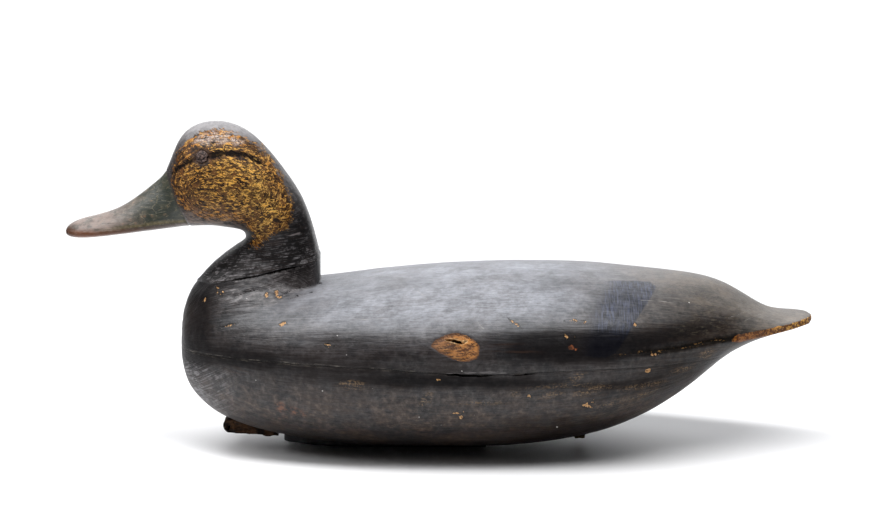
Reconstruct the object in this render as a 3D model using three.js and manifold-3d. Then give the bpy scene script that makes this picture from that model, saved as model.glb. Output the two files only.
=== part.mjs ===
// A hollow-bodied black duck decoy: two carved body halves, a carved head, eye tacks,
// a lead strip let into the bottom and the leather loop for the anchor line.
// Millimetres, +Z up. The bill points to -X, and Z = 0 is the flat underside of the lead.

import * as THREE from "three";
import Module from "manifold-3d";
import { LoftGeometry } from "three/addons/geometries/LoftGeometry.js";
import { mergeVertices } from "three/addons/utils/BufferGeometryUtils.js";

const wasm = await Module();
wasm.setup();

// Fit between neighbouring pieces
const GAP = 0.3;

// Carver's stations of the body, breast to tail tip:
// x, height of the back, height of the keel, half width, height of the widest line
const BODY_STATIONS = [
  [-149.5, 58.0, 58.0, 0, 58.0],
  [-148.4, 75.5, 45.8, 12, 58.3],
  [-144.6, 87.8, 34.4, 22.5, 58.8],
  [-140.6, 94.3, 28.8, 28.3, 59.0],
  [-134.8, 98.0, 23.2, 34.8, 59.3],
  [-118.0, 98.8, 14.0, 48.3, 59.8],
  [-90.0, 95.9, 7.4, 62.4, 60.4],
  [-50.0, 98.2, 3.3, 73.8, 61.0],
  [0, 103.4, 2.0, 79, 61.5],
  [45.0, 105.0, 3.2, 79, 62.0],
  [85.0, 104.4, 8.8, 73.6, 62.6],
  [120.0, 101.5, 21.4, 62.8, 64.2],
  [148.0, 98.5, 39.2, 49.6, 66.6],
  [165.0, 93.5, 53.0, 40.2, 68.4],
  [180.0, 84.9, 61.6, 33, 69.8],
  [193.0, 78.4, 66.6, 27, 71.2],
  [205.0, 77.0, 69.3, 19.5, 72.8],
  [212.0, 76.3, 71.2, 12, 73.7],
  [215.1, 75.2, 72.8, 0, 74.0],
];

// Fullness of the body's cross sections: 2 is an ellipse, more is squarer, less is leaner
const BACK_POWERS = { breast: [2.05, 2.0], middle: [2.1, 2.05], tail: [2.1, 1.3] };
const BELLY_POWERS = { breast: [2.0, 2.0], middle: [2.6, 2.1], tail: [2.0, 1.3] };

// Runs in x over which the fullness passes from breast to middle, and from middle to tail
const BREAST_TO_MIDDLE = [-150, -60];
const MIDDLE_TO_TAIL = [95, 185];

// Blunt rim round the tail, the run in x where it grows to its height, and where it closes
const TAIL_RIM = 3.2;
const TAIL_RIM_RUN = [135, 190];
const TAIL_TIP_X = 215.6;
const TAIL_TIP_RUN = 3;

// Plane where the two halves meet
const SEAM_HEIGHT = 57.8;

// Stations of the head, bill tip to neck joint: x and z on the throat side, x and z on the
// crown side, half width, where between the two it is widest, and the fullness of each side
const HEAD_STATIONS = [
  [-215.0, 124.4, -215.0, 124.4, 0, 0.35, 2.1, 2.2],
  [-213.0, 121.9, -213.0, 127.9, 8.5, 0.35, 2.1, 2.3],
  [-207.0, 121.1, -207.0, 130.9, 13.2, 0.32, 2.1, 2.4],
  [-197.0, 121.6, -197.0, 133.6, 15.6, 0.28, 1.9, 2.4],
  [-184.0, 123.0, -184.0, 138.1, 15.6, 0.24, 1.75, 2.4],
  [-171.0, 124.4, -171.5, 146.0, 14.2, 0.22, 1.7, 2.4],
  [-159.5, 125.7, -160.5, 155.5, 14.4, 0.24, 1.7, 2.4],
  [-150.5, 126.9, -156.0, 161.8, 17.0, 0.32, 1.8, 2.3],
  [-143.5, 127.5, -151.4, 172.6, 21.5, 0.42, 1.95, 2.2],
  [-136.0, 127.8, -144.2, 182.8, 25.0, 0.44, 2.0, 2.2],
  [-128.5, 127.7, -129.8, 187.8, 27.5, 0.44, 2.0, 2.2],
  [-121.0, 126.8, -113.8, 184.4, 28.6, 0.44, 2.0, 2.2],
  [-115.3, 125.9, -100.0, 173.2, 28.4, 0.46, 2.05, 2.2],
  [-112.0, 124.0, -89.0, 159.4, 27.0, 0.48, 2.1, 2.15],
  [-111.6, 120.8, -80.2, 145.7, 25.4, 0.5, 2.3, 2.1],
  [-114.8, 117.3, -74.2, 130.8, 24.2, 0.52, 2.6, 2.05],
  [-126.8, 109.2, -70.9, 118.0, 24.0, 0.54, 3.2, 2.0],
  [-139.4, 96.2, -68.8, 109.4, 25.0, 0.55, 4.0, 2.0],
];

// Concave run of the neck seat into the shoulders: its reach beside the neck and at the sawn
// back, where along the neck one turns into the other, how wide the front stays crisp, and the
// heights between which it fades in over the breast
const SEAT_REACH = 30;
const SEAT_REACH_BACK = 1.6;
const SEAT_CRISP_BEHIND_X = -76;
const SEAT_FULL_BEFORE_X = -106;
const SEAT_SIDE_WIDTH = 26;
const SEAT_FADE_IN = [64, 92];
const SEAT_BLANK_TOP = 122;
const SEAT_FRONT_MARGIN = 8;
const SEAT_BACK_MARGIN = 6;
const SEAT_LOWEST_RISE = 8;
const NECK_FLARE_TOP = 125;
const NECK_FLARE_RUN = 12;
const NECK_FLARE_FARTHEST = 1.5;

// How finely the forms are divided
const BELLY_STEPS = 8;
const BACK_STEPS = 13;
const HEAD_RINGS = 34;
const HEAD_STEPS = 8;
const SWELL_STEPS = 40;
const BISECTIONS = 30;
const THINNEST = 0.05;
const LEAST_REACH = 0.01;
const MERGE_DISTANCE = 1e-4;
const HEAD_FIRST_SHARE = 0.0015;
const CURVE_SEGMENTS = 10;
const CORNER_SEGMENTS = 5;
const DOME_SIDES = 12;
const DOME_ARC_SHARES = [0.35, 0.7];
const POCKET_SIDES = 16;

// Blocks and drills that cut reach well past what they cut
const BLOCK_SIZE = 900;
const DRILL_OVERSHOOT = 4;
const PLAN_DEPTH = 40;
const RAY_START_Y = 100;

// Eye tacks, set flush in a shallow carved pocket
const EYE_X = -134.6;
const EYE_Z = 170.3;
const EYE_RADIUS = 3.8;
const EYE_RIM = 0.5;
const EYE_DOME = 1;
const EYE_POCKET_DEPTH = 0.8;

// Lead strip: flat underneath, its front bent up along the keel
const LEAD_FRONT_X = -90;
const LEAD_BACK_X = 27;
const LEAD_HALF_WIDTH = 15;
const LEAD_THICKNESS = 4.6;
const LEAD_BEND_START_X = -46;
const LEAD_FRONT_LIFT = 3.4;
const LEAD_CORNER = 3;

// Nail heads, countersunk in the lead
const NAIL_RADIUS = 3;
const NAIL_RIM = 0.6;
const NAIL_DOME = 0.5;
const NAIL_SINK = 0.4;
const NAIL_PLACES = [[-37, 8.5], [-37, -8.5], [16, 8.5], [16, -8.5]];

// Leather loop for the anchor line: a strap folded in two and tacked under the breast, with
// its fold in front left open as an eye that narrows to the rear
const LOOP_WIDTH = 18;
const LOOP_FRONT = [-121.4, 11];
const LOOP_FRONT_RADIUS = 4.1;
const LOOP_REAR_X = -93.4;
const LOOP_REAR_BOTTOM = 5.2;
const LOOP_REAR_TOP = 12;
const LOOP_EYE_FRONT = [-121.6, 9.9];
const LOOP_EYE_RADIUS = 1.4;
const LOOP_EYE_REAR = [-115.4, 8.9];
const LOOP_EYE_ARC = [Math.PI * 0.42, Math.PI * 1.42];
const STRAP_GAP = 1.2 * GAP;
const TACK_RADIUS = 3.2;
const TACK_RIM = 0.4;
const TACK_DOME = 0.8;
const TACK_X = -100;
const TACK_Y = 4.6;

// Stub of leather under the tail end of the keel
const STUB_FRONT_X = 78.8;
const STUB_REAR_X = 84.7;
const STUB_RAKE = 2.6;
const STUB_BOTTOM_Z = 2.8;
const STUB_TOP_Z = 14;
const STUB_WIDTH = 10;

const COLOURS = {
  paint: { color: 0x2b2a2b, roughness: 0.5, metalness: 0 },
  headPaint: { color: 0x6d5228, roughness: 0.5, metalness: 0 },
  lead: { color: 0x3a3d44, roughness: 0.6, metalness: 0.6 },
  leather: { color: 0x4a3622, roughness: 0.85, metalness: 0 },
  tack: { color: 0x4b3b36, roughness: 0.45, metalness: 0.8 },
};

const { lerp, smoothstep } = THREE.MathUtils;
const UP = new THREE.Vector3(0, 0, 1);
const DOWN = new THREE.Vector3(0, 0, -1);

// Second derivatives of the natural cubic spline through one column of numbers
function splineBends(stops, values) {
  const last = stops.length - 1;
  const carry = [0];
  const sums = [0];
  for (let i = 1; i < last; i++) {
    const before = stops[i] - stops[i - 1];
    const after = stops[i + 1] - stops[i];
    const turn = (values[i + 1] - values[i]) / after - (values[i] - values[i - 1]) / before;
    const pivot = 2 * (before + after) - before * carry[i - 1];
    carry.push(after / pivot);
    sums.push((6 * turn - before * sums[i - 1]) / pivot);
  }
  const bends = new Array(last + 1).fill(0);
  for (let i = last - 1; i > 0; i--) bends[i] = sums[i] - carry[i] * bends[i + 1];
  return bends;
}

// Smooth curve through rows of numbers. The returned function takes 0 at the first row and 1
// at the last. A mirror function carries the curve on round an end, so that it closes smoothly.
function curveThrough(rows, mirrorStart, mirrorEnd) {
  const before = mirrorStart ? [rows[3], rows[2], rows[1]].map(mirrorStart) : [];
  const after = mirrorEnd ? [rows.at(-2), rows.at(-3), rows.at(-4)].map(mirrorEnd) : [];
  const all = [...before, ...rows, ...after];
  const stops = [0];
  for (let i = 1; i < all.length; i++) {
    stops.push(stops[i - 1] + Math.hypot(...all[i].map((value, c) => value - all[i - 1][c])));
  }
  const bends = all[0].map((_, c) => splineBends(stops, all.map((row) => row[c])));
  const start = stops[before.length];
  const end = stops[before.length + rows.length - 1];
  return (share) => {
    const at = lerp(start, end, share);
    let i = 0;
    while (i < stops.length - 2 && stops[i + 1] < at) i++;
    const gap = stops[i + 1] - stops[i];
    const right = (at - stops[i]) / gap;
    const left = 1 - right;
    return all[i].map((value, c) => {
      const bow = (left ** 3 - left) * bends[c][i] + (right ** 3 - right) * bends[c][i + 1];
      return left * value + right * all[i + 1][c] + (bow * gap * gap) / 6;
    });
  };
}

const bodyCurve = curveThrough(
  BODY_STATIONS,
  ([x, back, keel, half, edge]) => [x, keel, back, -half, edge],
  ([x, back, keel, half, edge]) => [x, back, keel, -half, edge],
);
const headCurve = curveThrough(
  HEAD_STATIONS,
  ([ix, iz, ox, oz, half, ...rest]) => [ox, oz, ix, iz, -half, ...rest],
);

// The share along the body curve where it passes a given x
function shareAtX(x) {
  let low = 0;
  let high = 1;
  for (let i = 0; i < BISECTIONS; i++) {
    const middle = (low + high) / 2;
    if (bodyCurve(middle)[0] < x) low = middle;
    else high = middle;
  }
  return low;
}

// Fullness of a cross section at x, from the breast through the middle to the tail
function powersAt(powers, x) {
  const toMiddle = smoothstep(x, ...BREAST_TO_MIDDLE);
  const toTail = smoothstep(x, ...MIDDLE_TO_TAIL);
  return powers.middle.map((value, i) =>
    lerp(lerp(powers.breast[i], value, toMiddle), powers.tail[i], toTail));
}

function bodySectionAt(share) {
  const [x, back, keel, half, edge] = bodyCurve(share);
  const closing = smoothstep(TAIL_TIP_X - x, 0, TAIL_TIP_RUN);
  const rim = TAIL_RIM * smoothstep(x, ...TAIL_RIM_RUN) * closing;
  return {
    x,
    half: Math.max(half, THINNEST),
    top: Math.max(back, edge + rim / 2 + THINNEST),
    bottom: Math.min(keel, edge - rim / 2 - THINNEST),
    edgeTop: edge + rim / 2,
    edgeBottom: edge - rim / 2,
    upper: powersAt(BACK_POWERS, x),
    lower: powersAt(BELLY_POWERS, x),
  };
}

// Quarter of a superellipse from its side (0) to its crown (1)
function quarterPoint(share, width, rise, [flat, full]) {
  const angle = (share * Math.PI) / 2;
  return [width * Math.cos(angle) ** (2 / flat), rise * Math.sin(angle) ** (2 / full)];
}

// How far a point lies outside a superellipse, along the ray from its middle
function outsideOval(across, along, half, reach, [flat, full]) {
  const radial = ((across / half) ** flat + (along / reach) ** full) ** (2 / (flat + full));
  return Math.hypot(across, along) * (1 - 1 / radial);
}

function outsideBody({ half, top, bottom, edgeTop, edgeBottom, upper, lower }, y, z) {
  return z > edgeTop
    ? outsideOval(Math.abs(y), z - edgeTop, half, top - edgeTop, upper)
    : outsideOval(Math.abs(y), Math.max(edgeBottom - z, 0), half, edgeBottom - bottom, lower);
}

// The upright column that the neck stands on, with the outline of the head's last station
const jointStation = HEAD_STATIONS.at(-1);
const [jointFrontX, jointFrontZ, jointBackX, jointBackZ] = jointStation;
const [seatHalf, seatWidest, seatBackPower, seatFrontPower] = jointStation.slice(4);
const seatMiddleX = lerp(jointFrontX, jointBackX, seatWidest);
function outsideSeat(x, y) {
  const behind = x > seatMiddleX;
  const reach = behind ? jointBackX - seatMiddleX : seatMiddleX - jointFrontX;
  const power = behind ? seatBackPower : seatFrontPower;
  return outsideOval(Math.abs(y), Math.abs(x - seatMiddleX), seatHalf, reach, [power, power]);
}

// Union of two forms with a rounded valley of the given reach between them
function blended(a, b, reach) {
  const overlap = Math.max(reach - Math.abs(a - b), 0) / reach;
  return Math.min(a, b) - (overlap * overlap * reach) / 4;
}

function seatReach({ x, y, z }) {
  const beside = Math.min((y / SEAT_SIDE_WIDTH) ** 2, 1);
  const forward = 1 - smoothstep(x, SEAT_FULL_BEFORE_X, SEAT_CRISP_BEHIND_X);
  const fade = smoothstep(z, ...SEAT_FADE_IN);
  return lerp(SEAT_REACH_BACK, SEAT_REACH, beside * forward * fade);
}

// Moves a surface point out along the ray from the middle until it leaves the blended form
function swollen(middle, point, farthest, outside) {
  const at = (t) => new THREE.Vector3().lerpVectors(middle, point, t);
  const step = (farthest - 1) / SWELL_STEPS;
  let inner = 1;
  let outer = 1;
  while (outer < farthest && outside(at(outer)) < 0) {
    inner = outer;
    outer += step;
  }
  for (let i = 0; i < BISECTIONS && outer > inner; i++) {
    const half = (inner + outer) / 2;
    if (outside(at(half)) < 0) inner = half;
    else outer = half;
  }
  return at(outer);
}

// Half a ring on the side of +Y, keel to crown, made whole by its mirror image
function mirrored(side) {
  return [...side, ...side.slice(1, -1).reverse().map((p) => new THREE.Vector3(p.x, -p.y, p.z))];
}

function bodyRing(share) {
  const section = bodySectionAt(share);
  const { x, half, top, bottom, edgeTop, edgeBottom } = section;
  const side = [];
  for (let i = 0; i <= BELLY_STEPS; i++) {
    const [y, fall] = quarterPoint(1 - i / BELLY_STEPS, half, edgeBottom - bottom, section.lower);
    side.push(new THREE.Vector3(x, y, edgeBottom - fall));
  }
  const middle = new THREE.Vector3(x, 0, edgeTop);
  const outside = (p) =>
    blended(outsideBody(section, p.y, p.z), outsideSeat(x, p.y), seatReach(p));
  const besideSeat = x > jointFrontX - SEAT_FRONT_MARGIN && x < jointBackX + SEAT_BACK_MARGIN;
  for (let i = 0; i <= BACK_STEPS; i++) {
    const [y, rise] = quarterPoint(i / BACK_STEPS, half, top - edgeTop, section.upper);
    const point = new THREE.Vector3(x, y, edgeTop + rise);
    const farthest = (SEAT_BLANK_TOP - edgeTop) / rise;
    side.push(besideSeat && rise > SEAT_LOWEST_RISE ? swollen(middle, point, farthest, outside) : point);
  }
  return mirrored(side);
}

// Where the body's rings stand: first x, last x, and how many, with the closest ones at the
// breast, the sawn back of the neck and the tail tip
const BODY_RING_RUNS = [
  [-149.3, -145.8, 5],
  [-144, -140, 2],
  [-139, -79, 11],
  [-76, -71, 4],
  [-70, -68.9, 3],
  [-68.6, -66.5, 3],
  [-58, 134, 14],
  [143, 208, 9],
  [211, 215, 4],
];
function bodyShares() {
  return BODY_RING_RUNS.flatMap(([first, last, count]) =>
    Array.from({ length: count }, (_, i) => shareAtX(lerp(first, last, i / (count - 1)))));
}

function headRing(share) {
  const [innerX, innerZ, outerX, outerZ, half, widest, outerPower, innerPower] = headCurve(share);
  const length = Math.hypot(outerX - innerX, outerZ - innerZ);
  const along = new THREE.Vector3(outerX - innerX, 0, outerZ - innerZ).normalize();
  const middle = new THREE.Vector3(innerX, 0, innerZ).addScaledVector(along, widest * length);
  const side = [];
  for (let i = 0; i < HEAD_STEPS; i++) {
    const powers = [innerPower, innerPower];
    const [y, fall] = quarterPoint(1 - i / HEAD_STEPS, half, widest * length, powers);
    side.push(middle.clone().addScaledVector(along, -fall).setY(y));
  }
  for (let i = 0; i <= HEAD_STEPS; i++) {
    const powers = [outerPower, outerPower];
    const [y, rise] = quarterPoint(i / HEAD_STEPS, half, (1 - widest) * length, powers);
    side.push(middle.clone().addScaledVector(along, rise).setY(y));
  }
  const flare = smoothstep(NECK_FLARE_TOP - middle.z, 0, NECK_FLARE_RUN);
  if (flare === 0) return mirrored(side);
  return mirrored(side.map((point) => swollen(middle, point, NECK_FLARE_FARTHEST, (p) => blended(
    p.distanceTo(middle) - point.distanceTo(middle),
    outsideBody(bodySectionAt(shareAtX(p.x)), p.y, p.z),
    Math.max(flare * seatReach(p), LEAST_REACH),
  ))));
}

// Closed three.js geometry as a solid that can be joined and cut
function solidOf(geometry) {
  const plain = new THREE.BufferGeometry().copy(geometry);
  plain.deleteAttribute("normal");
  plain.deleteAttribute("uv");
  const merged = mergeVertices(plain, MERGE_DISTANCE);
  const corners = merged.index.array;
  const triVerts = [];
  for (let i = 0; i < corners.length; i += 3) {
    const [a, b, c] = corners.slice(i, i + 3);
    if (a !== b && b !== c && c !== a) triVerts.push(a, b, c);
  }
  return new wasm.Manifold(new wasm.Mesh({
    numProp: 3,
    vertProperties: new Float32Array(merged.attributes.position.array),
    triVerts: new Uint32Array(triVerts),
  }));
}

function geometryOf(solid) {
  const mesh = solid.getMesh();
  const geometry = new THREE.BufferGeometry();
  geometry.setAttribute("position", new THREE.BufferAttribute(new Float32Array(mesh.vertProperties), 3));
  geometry.setIndex(new THREE.BufferAttribute(new Uint32Array(mesh.triVerts), 1));
  return geometry;
}

// Large block that fills one side of a plane, to cut with
function halfSpace(point, normal) {
  const block = new THREE.BoxGeometry(BLOCK_SIZE, BLOCK_SIZE, BLOCK_SIZE);
  block.translate(0, 0, BLOCK_SIZE / 2);
  block.applyQuaternion(new THREE.Quaternion().setFromUnitVectors(UP, normal));
  return solidOf(block.translate(point.x, point.y, point.z));
}

// Outline in x and z, given its width across the decoy
function acrossDecoy(outline, width) {
  const options = { depth: width, bevelEnabled: false, curveSegments: CURVE_SEGMENTS };
  const geometry = new THREE.ExtrudeGeometry(outline, options);
  return geometry.rotateX(Math.PI / 2).translate(0, width / 2, 0);
}

// Domed round head with its flat back at z = 0
function domedHead(radius, rim, dome) {
  const arc = DOME_ARC_SHARES.map((share) => {
    const angle = (share * Math.PI) / 2;
    return new THREE.Vector2(radius * Math.cos(angle), rim + dome * Math.sin(angle));
  });
  const profile = [
    new THREE.Vector2(0, 0),
    new THREE.Vector2(radius, 0),
    new THREE.Vector2(radius, rim),
    ...arc,
    new THREE.Vector2(0, rim + dome),
  ];
  return geometryOf(solidOf(new THREE.LatheGeometry(profile, DOME_SIDES).rotateX(Math.PI / 2)));
}

// Round pocket sunk to a depth below a point, open along the direction given
function pocketAt(point, direction, radius, depth) {
  const length = depth + DRILL_OVERSHOOT;
  const drill = new THREE.CylinderGeometry(radius, radius, length, POCKET_SIDES);
  drill.rotateX(Math.PI / 2);
  drill.translate(0, 0, length / 2 - depth);
  drill.applyQuaternion(new THREE.Quaternion().setFromUnitVectors(UP, direction));
  return solidOf(drill.translate(point.x, point.y, point.z));
}

const decoy = new THREE.Group();

function addPiece(name, geometry, finish) {
  const material = new THREE.MeshStandardMaterial(COLOURS[finish]);
  const piece = new THREE.Mesh(geometry, material);
  piece.name = name;
  decoy.add(piece);
  return piece;
}

// A domed head whose back lies at a point, facing along a direction
function addHead(name, geometry, finish, back, direction) {
  const piece = addPiece(name, geometry, finish);
  piece.position.copy(back);
  piece.quaternion.setFromUnitVectors(UP, direction);
}

// Lead strip: side view with its front bent up, and plan with rounded front corners. It grows
// by the given amount all round to make the recess that it is let into.
function leadStrip(grow) {
  const front = LEAD_FRONT_X - grow;
  const back = LEAD_BACK_X + grow;
  const top = LEAD_THICKNESS + grow;
  const bendX = (LEAD_BEND_START_X + front) / 2;
  const sideView = new THREE.Shape();
  sideView.moveTo(back, 0);
  sideView.lineTo(back, top);
  sideView.lineTo(LEAD_BEND_START_X, top);
  sideView.quadraticCurveTo(bendX, top, front, LEAD_FRONT_LIFT + top);
  sideView.lineTo(front, LEAD_FRONT_LIFT);
  sideView.quadraticCurveTo(bendX, 0, LEAD_BEND_START_X, 0);
  const half = LEAD_HALF_WIDTH + grow;
  const plan = new THREE.Shape();
  plan.moveTo(back, -half);
  plan.lineTo(back, half);
  plan.lineTo(front + LEAD_CORNER, half);
  const cornerX = front + LEAD_CORNER;
  const cornerY = half - LEAD_CORNER;
  plan.absarc(cornerX, cornerY, LEAD_CORNER, Math.PI / 2, Math.PI, false);
  plan.absarc(cornerX, -cornerY, LEAD_CORNER, Math.PI, Math.PI * 1.5, false);
  const options = { depth: PLAN_DEPTH, bevelEnabled: false, curveSegments: CORNER_SEGMENTS };
  const planBlock = new THREE.ExtrudeGeometry(plan, options).translate(0, 0, -PLAN_DEPTH / 2);
  return solidOf(acrossDecoy(sideView, 3 * half)).intersect(solidOf(planBlock));
}

// Strap folded round the eye, its layers lying together behind it
function leatherLoop() {
  const [frontX, frontZ] = LOOP_FRONT;
  const [eyeX, eyeZ] = LOOP_EYE_FRONT;
  const [eyeRearX, eyeRearZ] = LOOP_EYE_REAR;
  const outline = new THREE.Shape();
  outline.moveTo(LOOP_REAR_X, LOOP_REAR_BOTTOM);
  outline.lineTo(LOOP_REAR_X, LOOP_REAR_TOP);
  outline.lineTo(frontX, frontZ + LOOP_FRONT_RADIUS);
  outline.absarc(frontX, frontZ, LOOP_FRONT_RADIUS, Math.PI / 2, Math.PI * 1.5, false);
  const eye = new THREE.Path();
  eye.moveTo(eyeRearX, eyeRearZ);
  eye.absarc(eyeX, eyeZ, LOOP_EYE_RADIUS, ...LOOP_EYE_ARC, false);
  outline.holes.push(eye);
  return solidOf(acrossDecoy(outline, LOOP_WIDTH));
}

function leatherStub() {
  const outline = new THREE.Shape();
  outline.moveTo(STUB_FRONT_X, STUB_BOTTOM_Z);
  outline.lineTo(STUB_REAR_X, STUB_BOTTOM_Z);
  outline.lineTo(STUB_REAR_X, STUB_TOP_Z);
  outline.lineTo(STUB_FRONT_X - STUB_RAKE, STUB_TOP_Z);
  return solidOf(acrossDecoy(outline, STUB_WIDTH));
}

const ends = { capStart: true, capEnd: true };
const bodyBlank = solidOf(new LoftGeometry(bodyShares().map(bodyRing), ends));
const headShares = Array.from({ length: HEAD_RINGS + 1 }, (_, i) =>
  lerp(HEAD_FIRST_SHARE, 1, i / HEAD_RINGS));
const headBlank = solidOf(new LoftGeometry(headShares.map(headRing), ends));

// Neck joint: a plane through the head's last station
const jointTilt = Math.atan2(jointBackZ - jointFrontZ, jointBackX - jointFrontX);
const jointNormal = new THREE.Vector3(-Math.sin(jointTilt), 0, Math.cos(jointTilt));
const jointPoint = new THREE.Vector3(jointFrontX, 0, jointFrontZ)
  .addScaledVector(jointNormal, -GAP);

// Body halves
const bodyUpper = bodyBlank
  .subtract(halfSpace(new THREE.Vector3(0, 0, SEAM_HEIGHT + GAP / 2), DOWN))
  .subtract(halfSpace(jointPoint, jointNormal));
const hull = bodyBlank.subtract(halfSpace(new THREE.Vector3(0, 0, SEAM_HEIGHT - GAP / 2), UP));
const hullWithGap = solidOf(geometryOf(hull).translate(0, 0, -STRAP_GAP));
addPiece("body_upper", geometryOf(bodyUpper), "paint");
addPiece("body_lower", geometryOf(hull.subtract(leadStrip(GAP))), "paint");

// Head, with a pocket for each eye tack square to the cheek
const rayStart = new THREE.Vector3(EYE_X, RAY_START_Y, EYE_Z);
const cheekRay = new THREE.Raycaster(rayStart, new THREE.Vector3(0, -1, 0));
const [cheek] = cheekRay.intersectObject(new THREE.Mesh(geometryOf(headBlank)));
let head = headBlank;
for (const [name, side] of [["eye_tack_left", -1], ["eye_tack_right", 1]]) {
  const point = cheek.point.clone().setY(side * cheek.point.y);
  const normal = cheek.face.normal.clone().setY(side * cheek.face.normal.y);
  head = head.subtract(pocketAt(point, normal, EYE_RADIUS + GAP, EYE_POCKET_DEPTH));
  const back = point.addScaledVector(normal, GAP - EYE_POCKET_DEPTH);
  addHead(name, domedHead(EYE_RADIUS, EYE_RIM, EYE_DOME), "tack", back, normal);
}
addPiece("head", geometryOf(head), "headPaint");

// Lead strip and its nails
let lead = leadStrip(0);
const nailDepth = NAIL_SINK + NAIL_RIM + NAIL_DOME;
NAIL_PLACES.forEach(([x, y], i) => {
  const point = new THREE.Vector3(x, y, 0);
  lead = lead.subtract(pocketAt(point, DOWN, NAIL_RADIUS + GAP, nailDepth + GAP));
  const back = new THREE.Vector3(x, y, nailDepth);
  addHead(`lead_nail_${i + 1}`, domedHead(NAIL_RADIUS, NAIL_RIM, NAIL_DOME), "tack", back, DOWN);
});
addPiece("lead_strip", geometryOf(lead), "lead");

// Leather loop with its tacks, and the stub behind
addPiece("line_loop", geometryOf(leatherLoop().subtract(hullWithGap)), "leather");
const loopFrontBottom = LOOP_FRONT[1] - LOOP_FRONT_RADIUS;
const loopSlope = (loopFrontBottom - LOOP_REAR_BOTTOM) / (LOOP_REAR_X - LOOP_FRONT[0]);
const loopDown = new THREE.Vector3(-loopSlope, 0, -1).normalize();
const tackZ = LOOP_REAR_BOTTOM + loopSlope * (LOOP_REAR_X - TACK_X);
for (const [name, side] of [["loop_tack_left", -1], ["loop_tack_right", 1]]) {
  const back = new THREE.Vector3(TACK_X, side * TACK_Y, tackZ).addScaledVector(loopDown, GAP);
  addHead(name, domedHead(TACK_RADIUS, TACK_RIM, TACK_DOME), "tack", back, loopDown);
}
addPiece("rear_stub", geometryOf(leatherStub().subtract(hullWithGap)), "leather");

export default decoy;
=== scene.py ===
import math
from types import SimpleNamespace

import bmesh
import bpy
import numpy as np
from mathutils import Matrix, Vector


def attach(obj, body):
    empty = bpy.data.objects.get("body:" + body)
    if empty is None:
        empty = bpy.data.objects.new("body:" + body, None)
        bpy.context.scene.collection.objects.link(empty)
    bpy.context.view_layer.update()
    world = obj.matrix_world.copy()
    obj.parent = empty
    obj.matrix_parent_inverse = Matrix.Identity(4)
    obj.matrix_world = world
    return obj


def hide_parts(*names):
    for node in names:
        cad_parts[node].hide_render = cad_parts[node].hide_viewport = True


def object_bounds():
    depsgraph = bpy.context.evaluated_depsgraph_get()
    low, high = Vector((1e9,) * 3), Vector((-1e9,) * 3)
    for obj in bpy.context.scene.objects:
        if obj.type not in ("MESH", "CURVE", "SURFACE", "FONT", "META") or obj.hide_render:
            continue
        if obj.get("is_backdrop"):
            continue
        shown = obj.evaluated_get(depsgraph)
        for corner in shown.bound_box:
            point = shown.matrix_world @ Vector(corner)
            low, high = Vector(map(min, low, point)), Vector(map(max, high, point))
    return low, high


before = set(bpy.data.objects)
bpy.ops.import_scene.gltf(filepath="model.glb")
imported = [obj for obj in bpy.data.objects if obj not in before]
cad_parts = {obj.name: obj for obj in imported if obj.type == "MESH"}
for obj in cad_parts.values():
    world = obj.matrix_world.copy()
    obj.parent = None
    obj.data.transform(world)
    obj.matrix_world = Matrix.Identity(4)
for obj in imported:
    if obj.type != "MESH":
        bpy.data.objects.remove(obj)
cad_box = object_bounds()

MM = 0.001

# Camera: picture size and focal length in pixels, the decoy's pixel in mm, places in metres
PHOTO_WIDTH, PHOTO_HEIGHT = 872, 512
PIXEL = 0.577
FOCAL_PIXELS = 2772.1
SENSOR = 36.0
CAMERA_TARGET = Vector((-2.02, 0.0, 109.49)) * MM
CAMERA_ELEVATION = math.radians(9.5)
CAMERA_DISTANCE = 1600 * MM

# Body, as in the CAD: x, back, keel, half width, edge
BODY_STATIONS = [
    (-149.5, 58, 58, 0, 58), (-148.4, 75.5, 45.8, 12, 58.3), (-144.6, 87.8, 34.4, 22.5, 58.8),
    (-140.6, 94.3, 28.8, 28.3, 59), (-134.8, 98, 23.2, 34.8, 59.3), (-118, 98.8, 14, 48.3, 59.8),
    (-90, 95.9, 7.4, 62.4, 60.4), (-50, 98.2, 3.3, 73.8, 61), (0, 103.4, 2, 79, 61.5), (45, 105, 3.2, 79, 62),
    (85, 104.4, 8.8, 73.6, 62.6), (120, 101.5, 21.4, 62.8, 64.2), (148, 98.5, 39.2, 49.6, 66.6),
    (165, 93.5, 53, 40.2, 68.4), (180, 84.9, 61.6, 33, 69.8), (193, 78.4, 66.6, 27, 71.2),
    (205, 77, 69.3, 19.5, 72.8), (212, 76.3, 71.2, 12, 73.7), (215.1, 75.2, 72.8, 0, 74),
]
BACK_POWERS = ((2.05, 2.0), (2.1, 2.05), (2.1, 1.3))
BELLY_POWERS = ((2.0, 2.0), (2.6, 2.1), (2.0, 1.3))
TAIL_RIM = 3.2
SEAM_HEIGHT = 57.8
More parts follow.
